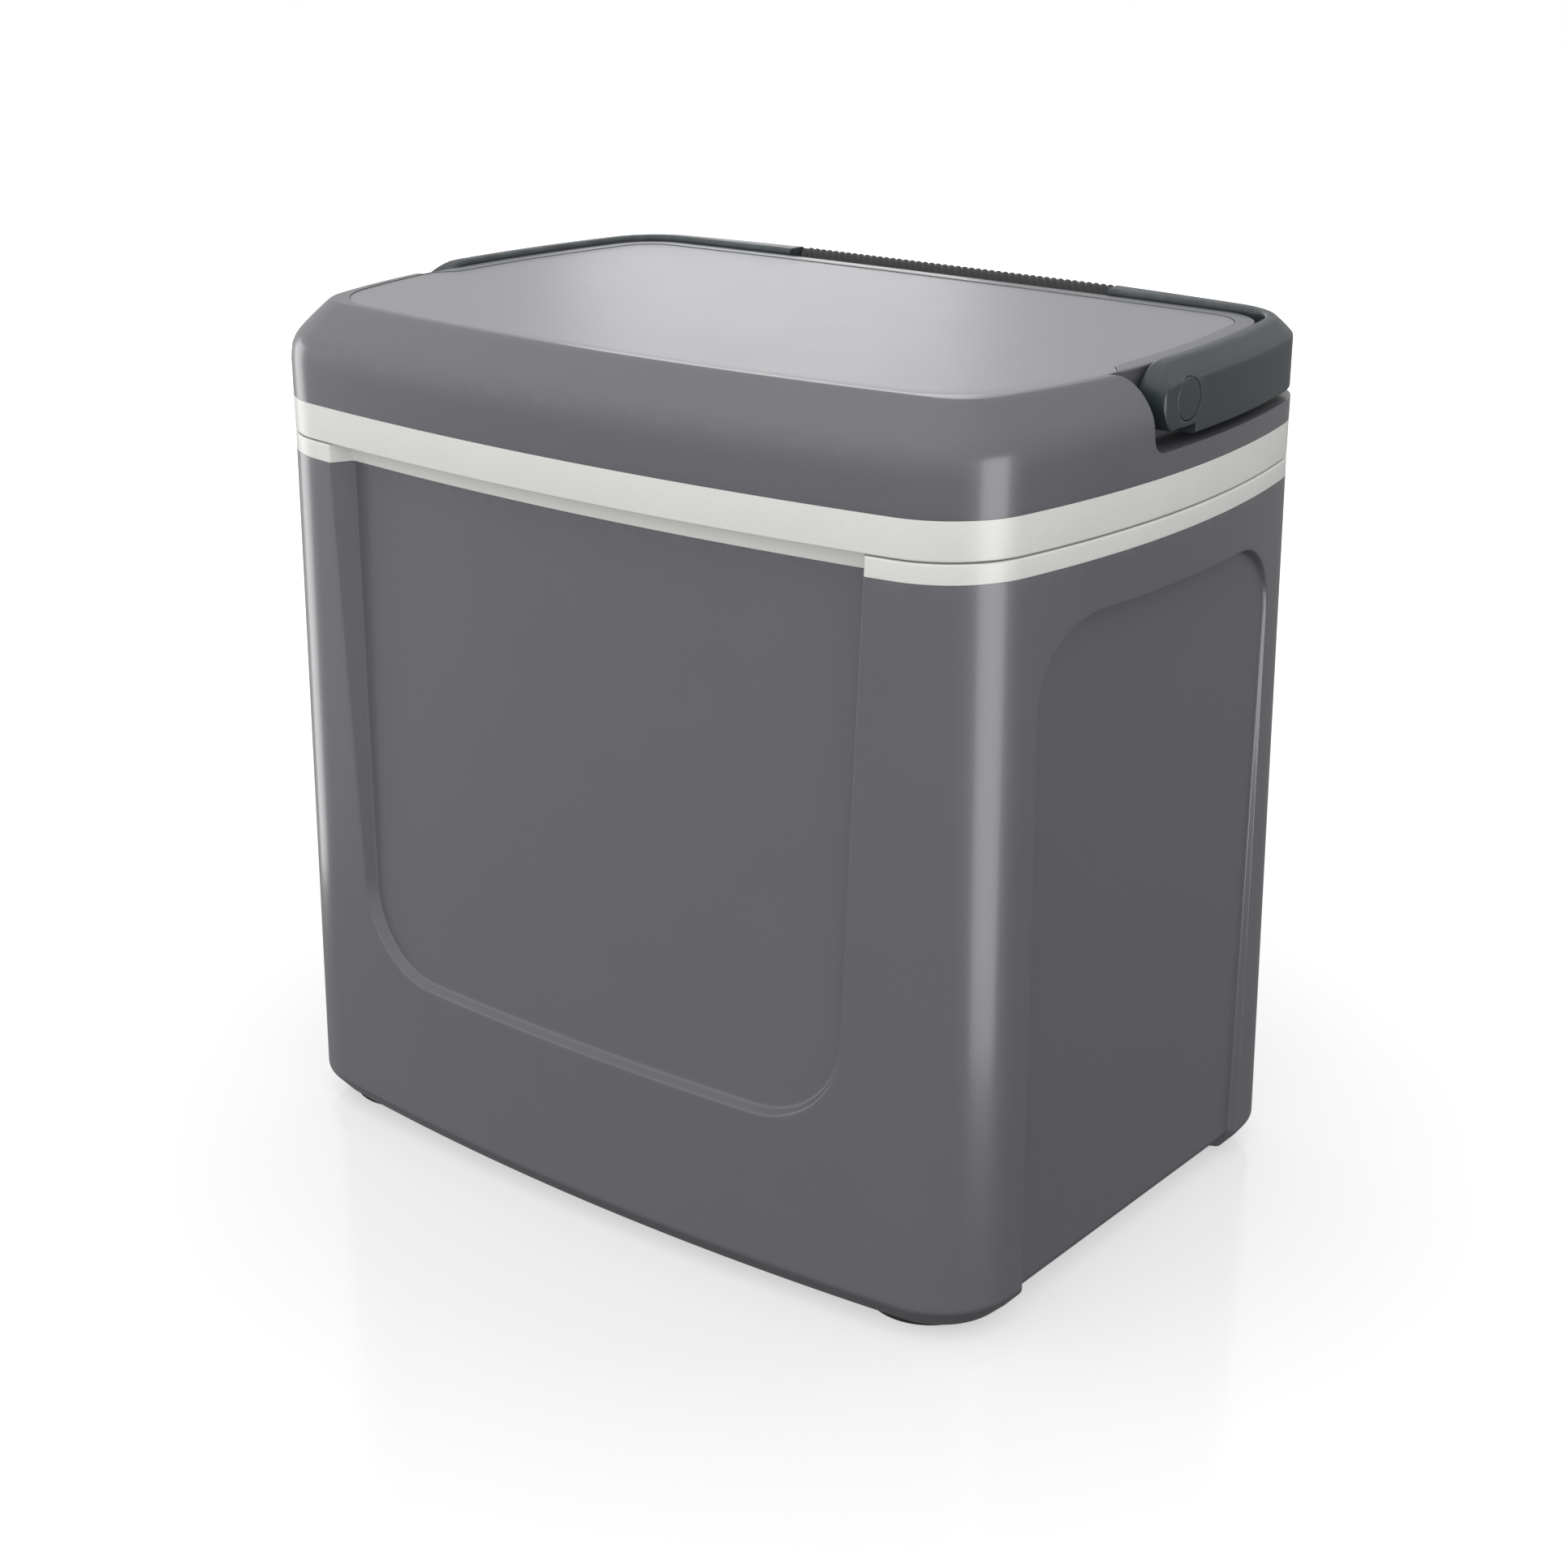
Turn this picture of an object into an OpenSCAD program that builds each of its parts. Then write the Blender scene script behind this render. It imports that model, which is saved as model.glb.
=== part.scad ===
// Compact hard cooler: foam-filled body, hinged lid, folding bail handle that locks the lid.
// The origin is at the middle of the floor under the feet. The front is -Y and +Z is up.

/* [Body] */
// Width over the bowed sides
body_w = 450; // [440:2:460]
// Depth over the bowed front and back
body_d = 313; // [308:1:320]
// Height of the parting line between body and lid
rim_z = 362; // [350:2:376]
// Radius of the upright corners
corner_r = 46.7; // [42:0.5:50]
// Height of the cream rim band on the body
rim_band_h = 9.6; // [9:0.2:11]
// Thickness of the moulded outer walls
wall = 3; // [2.6:0.1:3.2]
// Height of the bevel round the base
bevel_h = 11.5; // [9:0.5:14]
// Width of the bevel round the base
bevel_w = 10; // [8:0.5:11]

/* [Recesses] */
// Half width of the front and rear recess at the rim
recess_half_top = 162; // [158:1:165]
// Half width of the front and rear recess near its foot
recess_half_low = 151.5; // [146:0.5:154]
// Depth of the front and rear recess at the rim
recess_deep = 12; // [11:0.5:13]
// Depth of the front and rear recess at its foot
recess_shallow = 4.5; // [4:0.5:6]
// Height of the foot of the front and rear recess
recess_foot_z = 91; // [80:1:110]
// Distance of the flat side recess from the middle plane
side_flat_x = 214.6; // [213:0.2:215.4]
// Half length of the side recess
side_half = 98; // [92:1:100]
// Height of the crown of the side recess
side_crown_z = 329; // [320:1:334]

/* [Storage space] */
// Half width of the storage space
store_half_w = 187; // [182:1:187]
// Half depth of the storage space
store_half_d = 119; // [112:1:119]
// Height of the floor inside
store_floor_z = 43; // [40:1:60]
// Thickness of the liner
liner_t = 2.5; // [2:0.1:3]

/* [Lid] */
// Height of the lid above the parting line
lid_h = 62.4; // [61:0.2:64]
// Height of the cream band on the lid
lid_band_h = 17.25; // [16:0.25:18]
// Gap between the lid and the body's rim
parting_gap = 0.8; // [0.6:0.1:1]
// How far the lid's plug reaches into the body
plug_h = 12; // [10:0.5:14]

/* [Handle] */
// Height of the handle's pivot above the parting line
pivot_h = 48.3; // [47.8:0.1:48.8]
// Height of the ledge under the handle's arms above the parting line
ledge_h = 28; // [27:0.2:28.6]
// Height of the handle's underside above the parting line
bail_low_h = 32; // [31.5:0.1:33]
// Height of the handle's top above the parting line
bail_top_h = 64.8; // [64:0.1:65.4]
// Length of the ribbed grip
grip_len = 200; // [180:2:210]

/* [Hidden] */

$fn = 48;
cut = 1;
fill_gap = 0.2;
far = 260;

// Colours
shell_colour = [0.36, 0.365, 0.385];
panel_colour = [0.52, 0.525, 0.545];
cream_colour = [0.86, 0.86, 0.84];
foam_colour = [0.93, 0.90, 0.80];
bail_colour = [0.24, 0.28, 0.30];
rubber_colour = [0.09, 0.09, 0.095];
steel_colour = [0.72, 0.73, 0.75];

// Heights
base_z = 3;
bevel_z = base_z + bevel_h;
rim_top = rim_z - parting_gap;
shell_top = rim_z - rim_band_h;
lid_top = rim_z + lid_h;
lid_band_z = rim_z + lid_band_h;
ledge_z = rim_z + ledge_h;
pivot_z = rim_z + pivot_h;
bail_low = rim_z + bail_low_h;
bail_top = rim_z + bail_top_h;

// ---- Outlines: a rectangle with four bowed sides and round corners ----

// Steps along a quarter of the side bow, of a corner and of the front bow
side_steps = 6;
corner_steps = 8;
front_steps = 6;

// An outline is [half width, half depth, front bow radius, side bow radius, corner radius]
function bow_radius(half, rise) = (half * half + rise * rise) / (2 * rise);
function outline(hw, hd, front_rise, side_rise, r) =
    [hw, hd, bow_radius(hw, front_rise), bow_radius(hd, side_rise), r];
function inset(o, t) = [o[0] - t, o[1] - t, o[2] - t, o[3] - t, max(o[4] - t, 4)];
function blend(a, b, f) = [for (i = [0:4]) a[i] * (1 - f) + b[i] * f];

// Centre of the round corner that touches both bows
function corner_centre(o) =
    let (back = [0, o[1] - o[2]], side = [o[0] - o[3], 0])
    let (rb = o[2] - o[4], rs = o[3] - o[4], gap = norm(side - back))
    let (u = (side - back) / gap, along = (rb * rb - rs * rs + gap * gap) / (2 * gap))
    back + along * u + sqrt(rb * rb - along * along) * [u[1], -u[0]];

function arc(centre, r, from, to, steps) =
    [for (i = [0:steps]) let (a = from + (to - from) * i / steps) centre + r * [cos(a), sin(a)]];

// Points of the quarter from the middle of the right side to the middle of the back
function quarter(o) =
    let (c = corner_centre(o), back = [0, o[1] - o[2]], side = [o[0] - o[3], 0])
    let (a_side = atan2(c[1] - side[1], c[0] - side[0]), a_back = atan2(c[1] - back[1], c[0] - back[0]))
    concat(
        arc(side, o[3], 0, a_side, side_steps),
        arc(c, o[4], a_side, a_back, corner_steps),
        arc(back, o[2], a_back, 90, front_steps)
    );

// The same points without those that repeat the one before
function without_repeats(pts) =
    [for (i = [0:len(pts) - 1]) if (i == 0 || norm(pts[i] - pts[i - 1]) > 0.01) pts[i]];
function flip(pts) = [for (i = [len(pts) - 1:-1:0]) pts[i]];

// Whole outline, anticlockwise seen from above
function outline_points(o) =
    let (q = without_repeats(quarter(o)), n = len(q))
    let (right_back = [for (i = [0:n - 2]) q[i]])
    let (back_left = [for (i = [n - 1:-1:1]) [-q[i][0], q[i][1]]])
    let (left_front = [for (i = [0:n - 2]) [-q[i][0], -q[i][1]]])
    let (front_right = [for (i = [n - 1:-1:1]) [q[i][0], -q[i][1]]])
    concat(right_back, back_left, left_front, front_right);

rim_outline = outline(body_w / 2, body_d / 2, 18.7, 23.9, corner_r);
base_outline = outline(body_w / 2 - 1.2, body_d / 2 - 0.2, 16.4, 12.7, 41);
store_outline = outline(store_half_w, store_half_d, 12, 14, 34);
store_low_outline = outline(store_half_w - 5, store_half_d - 5, 11, 12, 32);
top_outline = outline(211.4, 133.1, 17.3, 26, 26);
cradle_outline = outline(207.1, 129.1, 5.9, 16, 29);
bail_inner_outline = outline(209.7, 134, 7.5, 17, 26);
panel_front_outline = outline(207.6, 129.6, 17.3, 26, 44);
panel_rear_outline = outline(198, 120.5, 5.9, 14, 22);

module slab(o, z0, z1) {
    translate([0, 0, z0]) linear_extrude(height = z1 - z0) polygon(outline_points(o));
}

// Closed solid through a stack of [outline, height] levels
module loft(levels) {
    n = len(outline_points(levels[0][0]));
    last = len(levels) - 1;
    points = [for (l = levels) for (p = outline_points(l[0])) [p[0], p[1], l[1]]];
    walls = [for (k = [0:last - 1]) for (i = [0:n - 1])
        let (j = (i + 1) % n, a = k * n, b = a + n)
        each [[a + i, b + i, b + j], [a + i, b + j, a + j]]];
    foot = [for (i = [0:n - 1]) i];
    head = [for (i = [n - 1:-1:0]) last * n + i];
    polyhedron(points = points, faces = concat(walls, [foot, head]));
}

// Extrude a profile drawn in Y and Z along X
module along_x(x0, x1) {
    translate([x0, 0, 0]) rotate([90, 0, 90]) linear_extrude(height = x1 - x0) children();
}

// Round bar along X
module rod_x(x0, x1, r, y, z) {
    translate([x0, y, z]) rotate([0, 90, 0]) cylinder(h = x1 - x0, r = r);
}

module block(low, high) {
    translate(low) cube(high - low);
}

module both_sides() {
    children();
    mirror([1, 0, 0]) children();
}

// Countersunk-style screw along +Z with its head's face at z = 0
screw_r = 1.5;
screw_hole_r = 1.6;
head_r = 3.4;
head_h = 1.2;
module screw(length) {
    cylinder(h = head_h, r = head_r);
    cylinder(h = length, r = screw_r);
}
module screw_hole(length) {
    translate([0, 0, -cut]) cylinder(h = head_h + fill_gap / 2 + cut, r = head_r + 0.1);
    cylinder(h = length + 0.5, r = screw_hole_r);
}

// ---- Body ----

recess_corner_r = 47;
recess_top_z = rim_z + 20;

// U-shaped outline of the front recess in X and Z, grown by t
module recess_face(t) {
    low = recess_foot_z - t;
    half_low = recess_half_low + t;
    half_top = recess_half_top + t;
    r = recess_corner_r + t;
    corner = [half_low - r, low + r];
    right = [for (p = arc(corner, r, -90, 0, 10)) p];
    left = [for (p = flip(right)) [-p[0], p[1]]];
    polygon(concat([[-half_top, recess_top_z]], left, right, [[half_top, recess_top_z]]));
}

// Floor of the front and rear recess as a solid, moved inwards by t
module recess_floor(t) {
    loft([
        [inset(base_outline, recess_shallow + t), recess_foot_z - wall - cut],
        [inset(rim_outline, recess_deep + t), recess_top_z]
    ]);
}

module front_and_rear_recess(t) {
    difference() {
        rotate([90, 0, 0]) translate([0, 0, -far]) linear_extrude(height = 2 * far) recess_face(t);
        recess_floor(t);
    }
}

side_corner_r = 38;
bevel_slope = bevel_w / bevel_h;

// Flat side recess with an arched head, open at the foot, with the bevel carried along under it
module side_recess(t) {
    x0 = side_flat_x - t;
    half = side_half + t;
    r = side_corner_r + t;
    crown = side_crown_z + t;
    head = arc([half - r, crown - r], r, 0, 90, 8);
    tail = [for (p = flip(head)) [-p[0], p[1]]];
    along_x(x0, far) polygon(concat([[-half, -cut], [half, -cut]], head, tail));
    translate([0, half, 0]) rotate([90, 0, 0]) linear_extrude(height = 2 * half)
        polygon([
            [x0 + cut, bevel_z + cut / bevel_slope],
            [x0 - bevel_w - 2 * bevel_slope, base_z - 2],
            [x0 + cut, base_z - 2]
        ]);
}

// Outer form of the body up to the rim, moved inwards by t
module body_form(t, z1) {
    difference() {
        loft([
            [inset(base_outline, bevel_w + t * 0.6), base_z + t],
            [inset(base_outline, t), bevel_z + t * 0.4],
            [inset(rim_outline, t), z1]
        ]);
        front_and_rear_recess(t);
        both_sides() side_recess(t);
    }
}

// Hinge places and sizes
hinge_x = 115;
hinge_y = body_d / 2 - 10.5;
hinge_z = rim_z - 5.5;
knuckle_r = 4;
hinge_pin_r = 2;
hinge_bore_r = 2.05;
leaf_half = 22;
leaf_t = 2;
pad_y = hinge_y - 3.6;
mid_knuckle_half = 12;
knuckle_gap = 0.4;
pad_low = rim_z - 46;
hinge_screw_drop = [18, 36];

// Pads on the shell that carry the hinge leaves
module hinge_pads(t) {
    both_sides()
        block([hinge_x - leaf_half - 3 - t, pad_y - 14 - t, pad_low - t],
              [hinge_x + leaf_half + 3 + t, pad_y, shell_top + t]);
}

module hinge_screw_places() {
    for (dx = [-13, 13]) for (drop = hinge_screw_drop)
        translate([hinge_x + dx, pad_y + leaf_t, rim_z - drop]) rotate([90, 0, 0]) children();
}

// Feet
foot_x = 172;
foot_y = 106;
foot_r = 29;
foot_boss_r = 8;
foot_boss_h = 12;
foot_screw_len = 13;
foot_head_z = 0.8;

module foot_places() {
    for (sx = [-1, 1]) for (sy = [-1, 1])
        translate([sx * foot_x, sy * foot_y, 0]) children();
}

module foot_bosses(t) {
    foot_places() translate([0, 0, base_z]) cylinder(h = wall + foot_boss_h + t, r = foot_boss_r + t);
}

module outer_shell() {
    color(shell_colour) difference() {
        union() {
            difference() {
                body_form(0, rim_z);
                body_form(wall, rim_z + cut);
                block([-far, -far, shell_top], [far, far, rim_z + 20]);
            }
            hinge_pads(0);
            foot_bosses(0);
        }
        both_sides() {
            hinge_screw_places() screw_hole(11);
            block([hinge_x - leaf_half - 0.2, pad_y, pad_low + 1.8],
                  [hinge_x + leaf_half + 0.2, far, shell_top + cut]);
        }
        foot_places() translate([0, 0, foot_head_z]) cylinder(h = foot_screw_len + 0.5, r = screw_hole_r);
    }
}

// Lock: lever inside the lid, slot in the rim, keeper plate over the slot's end
lever_x = 199;
lever_half_t = 2.5;
slot_half_w = 4;
slot_front_y = -38.5;
slot_rear_y = 15;
slot_low_z = rim_z - 12.5;
keeper_front_y = 6.6;
keeper_rear_y = 34;
keeper_half_w = 5.5;
keeper_t = 1.8;
keeper_screw_y = 26;
lock_box_half_w = 7;

module lock_box(t) {
    both_sides()
        block([lever_x - lock_box_half_w - t, slot_front_y - 3 - t, slot_low_z - 2.5 - t],
              [lever_x + lock_box_half_w + t, keeper_rear_y + 2 + t, rim_top]);
}

module inner_liner() {
    color(cream_colour) difference() {
        union() {
            intersection() {
                difference() {
                    body_form(0, rim_z);
                    difference() {
                        body_form(wall, rim_z + cut);
                        block([-far, -far, rim_top - 3], [far, far, rim_z + 20]);
                    }
                }
                block([-far, -far, shell_top], [far, far, rim_top]);
            }
            loft([
                [inset(store_low_outline, -liner_t), store_floor_z - liner_t],
                [inset(store_outline, -liner_t), rim_top - cut]
            ]);
            lock_box(0);
        }
        loft([
            [store_low_outline, store_floor_z],
            [store_outline, rim_top + cut]
        ]);
        both_sides() {
            block([lever_x - slot_half_w, slot_front_y, slot_low_z],
                  [lever_x + slot_half_w, slot_rear_y, rim_z]);
            block([lever_x - keeper_half_w - 0.1, keeper_front_y - 0.1, rim_top - keeper_t],
                  [lever_x + keeper_half_w + 0.1, keeper_rear_y + 0.1, rim_z]);
            translate([lever_x, keeper_screw_y, rim_top]) mirror([0, 0, 1]) screw_hole(9);
        }
    }
}

module body_foam() {
    color(foam_colour) difference() {
        body_form(wall + fill_gap, rim_top - 3 - fill_gap);
        loft([
            [inset(store_low_outline, -liner_t - fill_gap), store_floor_z - liner_t - fill_gap],
            [inset(store_outline, -liner_t - fill_gap), rim_z]
        ]);
        hinge_pads(fill_gap);
        foot_bosses(fill_gap);
        lock_box(fill_gap);
    }
}

module foot(sx, sy) {
    color(rubber_colour) translate([sx * foot_x, sy * foot_y, 0]) difference() {
        rotate_extrude() polygon([[0, 0], [foot_r - 1.5, 0], [foot_r, 1.5], [foot_r, base_z], [0, base_z]]);
        translate([0, 0, -cut]) cylinder(h = foot_head_z + head_h + 0.1 + cut, r = head_r + 1);
        cylinder(h = base_z + cut, r = screw_hole_r);
    }
}
module foot_front_left() { foot(-1, -1); }
module foot_front_right() { foot(1, -1); }
module foot_rear_left() { foot(-1, 1); }
module foot_rear_right() { foot(1, 1); }

module foot_screws() {
    color(steel_colour) foot_places() translate([0, 0, foot_head_z]) screw(foot_screw_len);
}

// Leaf on the body: plate, two outer knuckles and a bore through them
module hinge_body_leaf() {
    x0 = hinge_x - leaf_half;
    x1 = hinge_x + leaf_half;
    gap = mid_knuckle_half + knuckle_gap;
    difference() {
        union() {
            block([x0, pad_y, pad_low + 2], [x1, pad_y + leaf_t, hinge_z - knuckle_r - 0.6]);
            for (x = [[x0, hinge_x - gap], [hinge_x + gap, x1]]) {
                block([x[0], pad_y, pad_low + 30], [x[1], pad_y + leaf_t, hinge_z]);
                rod_x(x[0], x[1], knuckle_r, hinge_y, hinge_z);
            }
        }
        rod_x(x0 - cut, x1 + cut, hinge_bore_r, hinge_y, hinge_z);
        hinge_screw_places() screw_hole(11);
    }
}
module hinge_body_leaf_left() { color(steel_colour) mirror([1, 0, 0]) hinge_body_leaf(); }
module hinge_body_leaf_right() { color(steel_colour) hinge_body_leaf(); }

pin_head_t = 1.4;
module hinge_pin() {
    x0 = hinge_x - leaf_half - 0.2;
    x1 = hinge_x + leaf_half + 0.2;
    rod_x(x0, x1, hinge_pin_r, hinge_y, hinge_z);
    rod_x(x0 - pin_head_t, x0, hinge_pin_r + 1, hinge_y, hinge_z);
    rod_x(x1, x1 + pin_head_t, hinge_pin_r + 1, hinge_y, hinge_z);
}
module hinge_pin_left() { color(steel_colour) mirror([1, 0, 0]) hinge_pin(); }
module hinge_pin_right() { color(steel_colour) hinge_pin(); }

module hinge_body_screws() {
    color(steel_colour) both_sides() hinge_screw_places() screw(11);
}

module keeper_plate() {
    difference() {
        block([lever_x - keeper_half_w, keeper_front_y, rim_top - keeper_t],
              [lever_x + keeper_half_w, keeper_rear_y, rim_top]);
        translate([lever_x, keeper_screw_y, rim_top]) mirror([0, 0, 1]) screw_hole(9);
    }
}
module keeper_plate_left() { color(steel_colour) mirror([1, 0, 0]) keeper_plate(); }
module keeper_plate_right() { color(steel_colour) keeper_plate(); }

module keeper_screws() {
    color(steel_colour) both_sides()
        translate([lever_x, keeper_screw_y, rim_top]) mirror([0, 0, 1]) screw(9);
}

// ---- Lid ----

cradle_front_y = -27;
cradle_shoulder_r = 11;
cradle_shoulder_turn = 68;
cradle_foot_r = 8;

// Side view of the space round the handle, in Y and Z, grown by t
module cradle_side(t) {
    foot = arc([cradle_front_y + cradle_foot_r, ledge_z + cradle_foot_r], cradle_foot_r + t, 270, 180, 6);
    shoulder = arc([cradle_front_y - cradle_shoulder_r, lid_top - cradle_shoulder_r],
                   cradle_shoulder_r - t, 0, cradle_shoulder_turn, 6);
    last = shoulder[len(shoulder) - 1];
    run = 8;
    polygon(concat(
        [[far, ledge_z - t]],
        foot,
        shoulder,
        [last + run * [-sin(cradle_shoulder_turn), cos(cradle_shoulder_turn)],
         [last[0] - run, lid_top + 30], [far, lid_top + 30]]
    ));
}

// Space round the handle: outside the cradle outline and behind its shoulder
module cradle_cut(t) {
    difference() {
        along_x(-far, far) cradle_side(t);
        slab(inset(cradle_outline, t), ledge_z - 20, lid_top + 40);
    }
}

// How far the lid's outline has moved from the wall to the rim, at heights below the lid's top
lid_profile = [[26, 0], [20, 0.05], [15, 0.2], [3.2, 0.8], [0.8, 0.94], [0, 1]];

module lid_form(t, z0) {
    difference() {
        loft(concat(
            [[inset(rim_outline, t), z0]],
            [for (p = lid_profile) [inset(blend(rim_outline, top_outline, p[1]), t), lid_top - p[0] - t]]
        ));
        cradle_cut(t);
    }
}

panel_t = 1;
panel_depth = 1.4;
panel_step_y = -20;

// Outline of the textured panel in the lid's top, moved inwards by t
module panel_form(t, z0, z1) {
    intersection() {
        slab(inset(panel_front_outline, t), z0, z1);
        union() {
            slab(inset(panel_rear_outline, t), z0, z1);
            block([-far, -far, z0], [far, panel_step_y, z1]);
        }
    }
}

bush_r = 7.5;
bush_flange_r = 9.6;
bush_inner_x = 202.6;
cradle_x = 207.1;
bush_flange_t = 1.4;
pin_r = 5;
pin_bore_r = 5.05;

module lid_shell() {
    color(shell_colour) difference() {
        union() {
            difference() {
                lid_form(0, lid_band_z);
                lid_form(wall, lid_band_z - cut);
            }
            both_sides() rod_x(bush_inner_x, cradle_x - 1, bush_r + 4, 0, pivot_z);
        }
        panel_form(0, lid_top - panel_depth, lid_top + cut);
        both_sides() rod_x(bush_inner_x - cut, cradle_x + 3, bush_r + 0.05, 0, pivot_z);
    }
}

module lid_top_panel() {
    color(panel_colour)
        panel_form(0.15, lid_top - panel_depth, lid_top - panel_depth + panel_t);
}

gasket_w = 3.2;
gasket_seat = 1.6;
gasket_drop = 0.5;
gasket_outline = inset(store_outline, -6.8);
plug_outline = inset(store_outline, 3);
plug_low_outline = inset(store_outline, 5);

// Plate of the lid's hinge leaf
lid_leaf_front_y = body_d / 2 - 27;
lid_leaf_rear_y = hinge_y + 1;
lid_leaf_half = 18;
lid_leaf_t = 2.5;
lid_screw_y = body_d / 2 - 21.5;

module lid_leaf_screw_places() {
    for (dx = [-12.5, 12.5])
        translate([hinge_x + dx, lid_screw_y, rim_z]) children();
}

module lid_liner() {
    color(cream_colour) difference() {
        union() {
            difference() {
                slab(rim_outline, rim_z, lid_band_z);
                slab(inset(rim_outline, wall), rim_z + wall, lid_band_z + cut);
            }
            both_sides() block([hinge_x - lid_leaf_half, lid_leaf_front_y, rim_z],
                               [hinge_x + lid_leaf_half, body_d / 2 - 9.5, lid_band_z - 4]);
            loft([
                [plug_low_outline, rim_z - plug_h],
                [plug_outline, rim_z + cut]
            ]);
        }
        loft([
            [inset(plug_low_outline, liner_t), rim_z - plug_h + liner_t],
            [inset(plug_outline, liner_t), rim_z + wall + cut]
        ]);
        difference() {
            slab(gasket_outline, rim_z - cut, rim_z + gasket_seat);
            slab(inset(gasket_outline, gasket_w), rim_z - 2 * cut, rim_z + gasket_seat + cut);
        }
        both_sides() {
            block([lever_x - slot_half_w, slot_front_y, rim_z - cut],
                  [lever_x + slot_half_w, slot_rear_y, rim_z + wall + cut]);
            block([hinge_x - lid_leaf_half - 0.1, lid_leaf_front_y - 0.1, rim_z - cut],
                  [hinge_x + lid_leaf_half + 0.1, lid_leaf_rear_y + 0.2, rim_z + lid_leaf_t]);
            lid_leaf_screw_places() cylinder(h = 11.5, r = screw_hole_r);
        }
    }
}

module lid_foam() {
    g = wall + fill_gap;
    color(foam_colour) difference() {
        union() {
            lid_form(g, rim_z + g);
            loft([
                [inset(plug_low_outline, liner_t + fill_gap), rim_z - plug_h + liner_t + fill_gap],
                [inset(plug_outline, liner_t + fill_gap), rim_z + g + cut]
            ]);
        }
        both_sides() {
            block([lever_x - 5, -64, rim_z], [far, 18, lid_top]);
            block([hinge_x - lid_leaf_half - fill_gap, lid_leaf_front_y - fill_gap, rim_z],
                  [hinge_x + lid_leaf_half + fill_gap, far, lid_band_z - 4 + fill_gap]);
        }
    }
}

module lid_gasket() {
    color(rubber_colour) difference() {
        slab(inset(gasket_outline, 0.1), rim_z - gasket_drop, rim_z + gasket_seat - 0.1);
        slab(inset(gasket_outline, gasket_w - 0.1), rim_z - 2, rim_z + 4);
    }
}

// Leaf on the lid: plate in the lid's underside, web and middle knuckle
module hinge_lid_leaf() {
    difference() {
        union() {
            block([hinge_x - lid_leaf_half, lid_leaf_front_y, rim_z],
                  [hinge_x + lid_leaf_half, lid_leaf_rear_y, rim_z + lid_leaf_t - 0.1]);
            block([hinge_x - mid_knuckle_half, hinge_y - 2.5, hinge_z],
                  [hinge_x + mid_knuckle_half, lid_leaf_rear_y, rim_z + 0.5]);
            rod_x(hinge_x - mid_knuckle_half, hinge_x + mid_knuckle_half, knuckle_r, hinge_y, hinge_z);
        }
        rod_x(hinge_x - far, hinge_x + far, hinge_bore_r, hinge_y, hinge_z);
        lid_leaf_screw_places() screw_hole(11);
    }
}
module hinge_lid_leaf_left() { color(steel_colour) mirror([1, 0, 0]) hinge_lid_leaf(); }
module hinge_lid_leaf_right() { color(steel_colour) hinge_lid_leaf(); }

module hinge_lid_screws() {
    color(steel_colour) both_sides() lid_leaf_screw_places() screw(11);
}

module pivot_bush() {
    difference() {
        union() {
            rod_x(bush_inner_x, cradle_x + bush_flange_t, bush_r, 0, pivot_z);
            rod_x(cradle_x + 0.1, cradle_x + bush_flange_t, bush_flange_r, 0, pivot_z);
        }
        rod_x(bush_inner_x - cut, cradle_x + 3, pin_bore_r, 0, pivot_z);
    }
}
module pivot_bush_left() { color(cream_colour) mirror([1, 0, 0]) pivot_bush(); }
module pivot_bush_right() { color(cream_colour) pivot_bush(); }

// ---- Handle ----

bail_inset = 0.6;
bail_end_r = (bail_top - bail_low) / 2;
bail_end_y = -19.4;
notch_y = 6.5;
notch_h = 4;
core_y = [141, 150];
core_z = [bail_low + 10, bail_top - 12];
grip_y = [135, 155];
grip_low = bail_low + 1;
cap_r = 9.4;
cap_t = 2;
cap_x = body_w / 2 - bail_inset;
bail_profile = [[9, 0], [5, 1.4], [2, 4.2], [0.5, 7], [0, 9.5]];

// Side view of an arm in Y and Z, with a round front end
module arm_side() {
    mid = (bail_top + bail_low) / 2;
    end = arc([bail_end_y + bail_end_r, mid], bail_end_r, 90, 270, 16);
    polygon(concat(end, [[notch_y, bail_low], [far, bail_low], [far, bail_top]]));
}

pin_head_r = 8;
pin_head_x = [215.5, 220.5];
pin_key = 7;

module bail_space(z0, z1) {
    loft(concat(
        [[inset(rim_outline, bail_inset), z0]],
        [for (p = bail_profile) [inset(rim_outline, bail_inset + p[1]), z1 - p[0]]]
    ));
}

module handle_bail() {
    color(bail_colour) difference() {
        intersection() {
            difference() {
                bail_space(bail_low - cut, bail_top);
                slab(bail_inner_outline, bail_low - 2 * cut, bail_top + cut);
            }
            along_x(-far, far) arm_side();
        }
        both_sides() {
            block([180, -far, bail_low - cut], [far, notch_y, bail_low + notch_h]);
            rod_x(200, far, pin_r + 0.02, 0, pivot_z);
            rod_x(pin_head_x[0], far, pin_head_r + 0.05, 0, pivot_z);
            rod_x(cap_x - cap_t, far, cap_r + 0.1, 0, pivot_z);
        }
        difference() {
            block([-grip_len / 2, 125, bail_low - cut], [grip_len / 2, 165, bail_top + cut]);
            block([-grip_len, core_y[0], core_z[0]], [grip_len, core_y[1], core_z[1]]);
        }
    }
}

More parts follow.
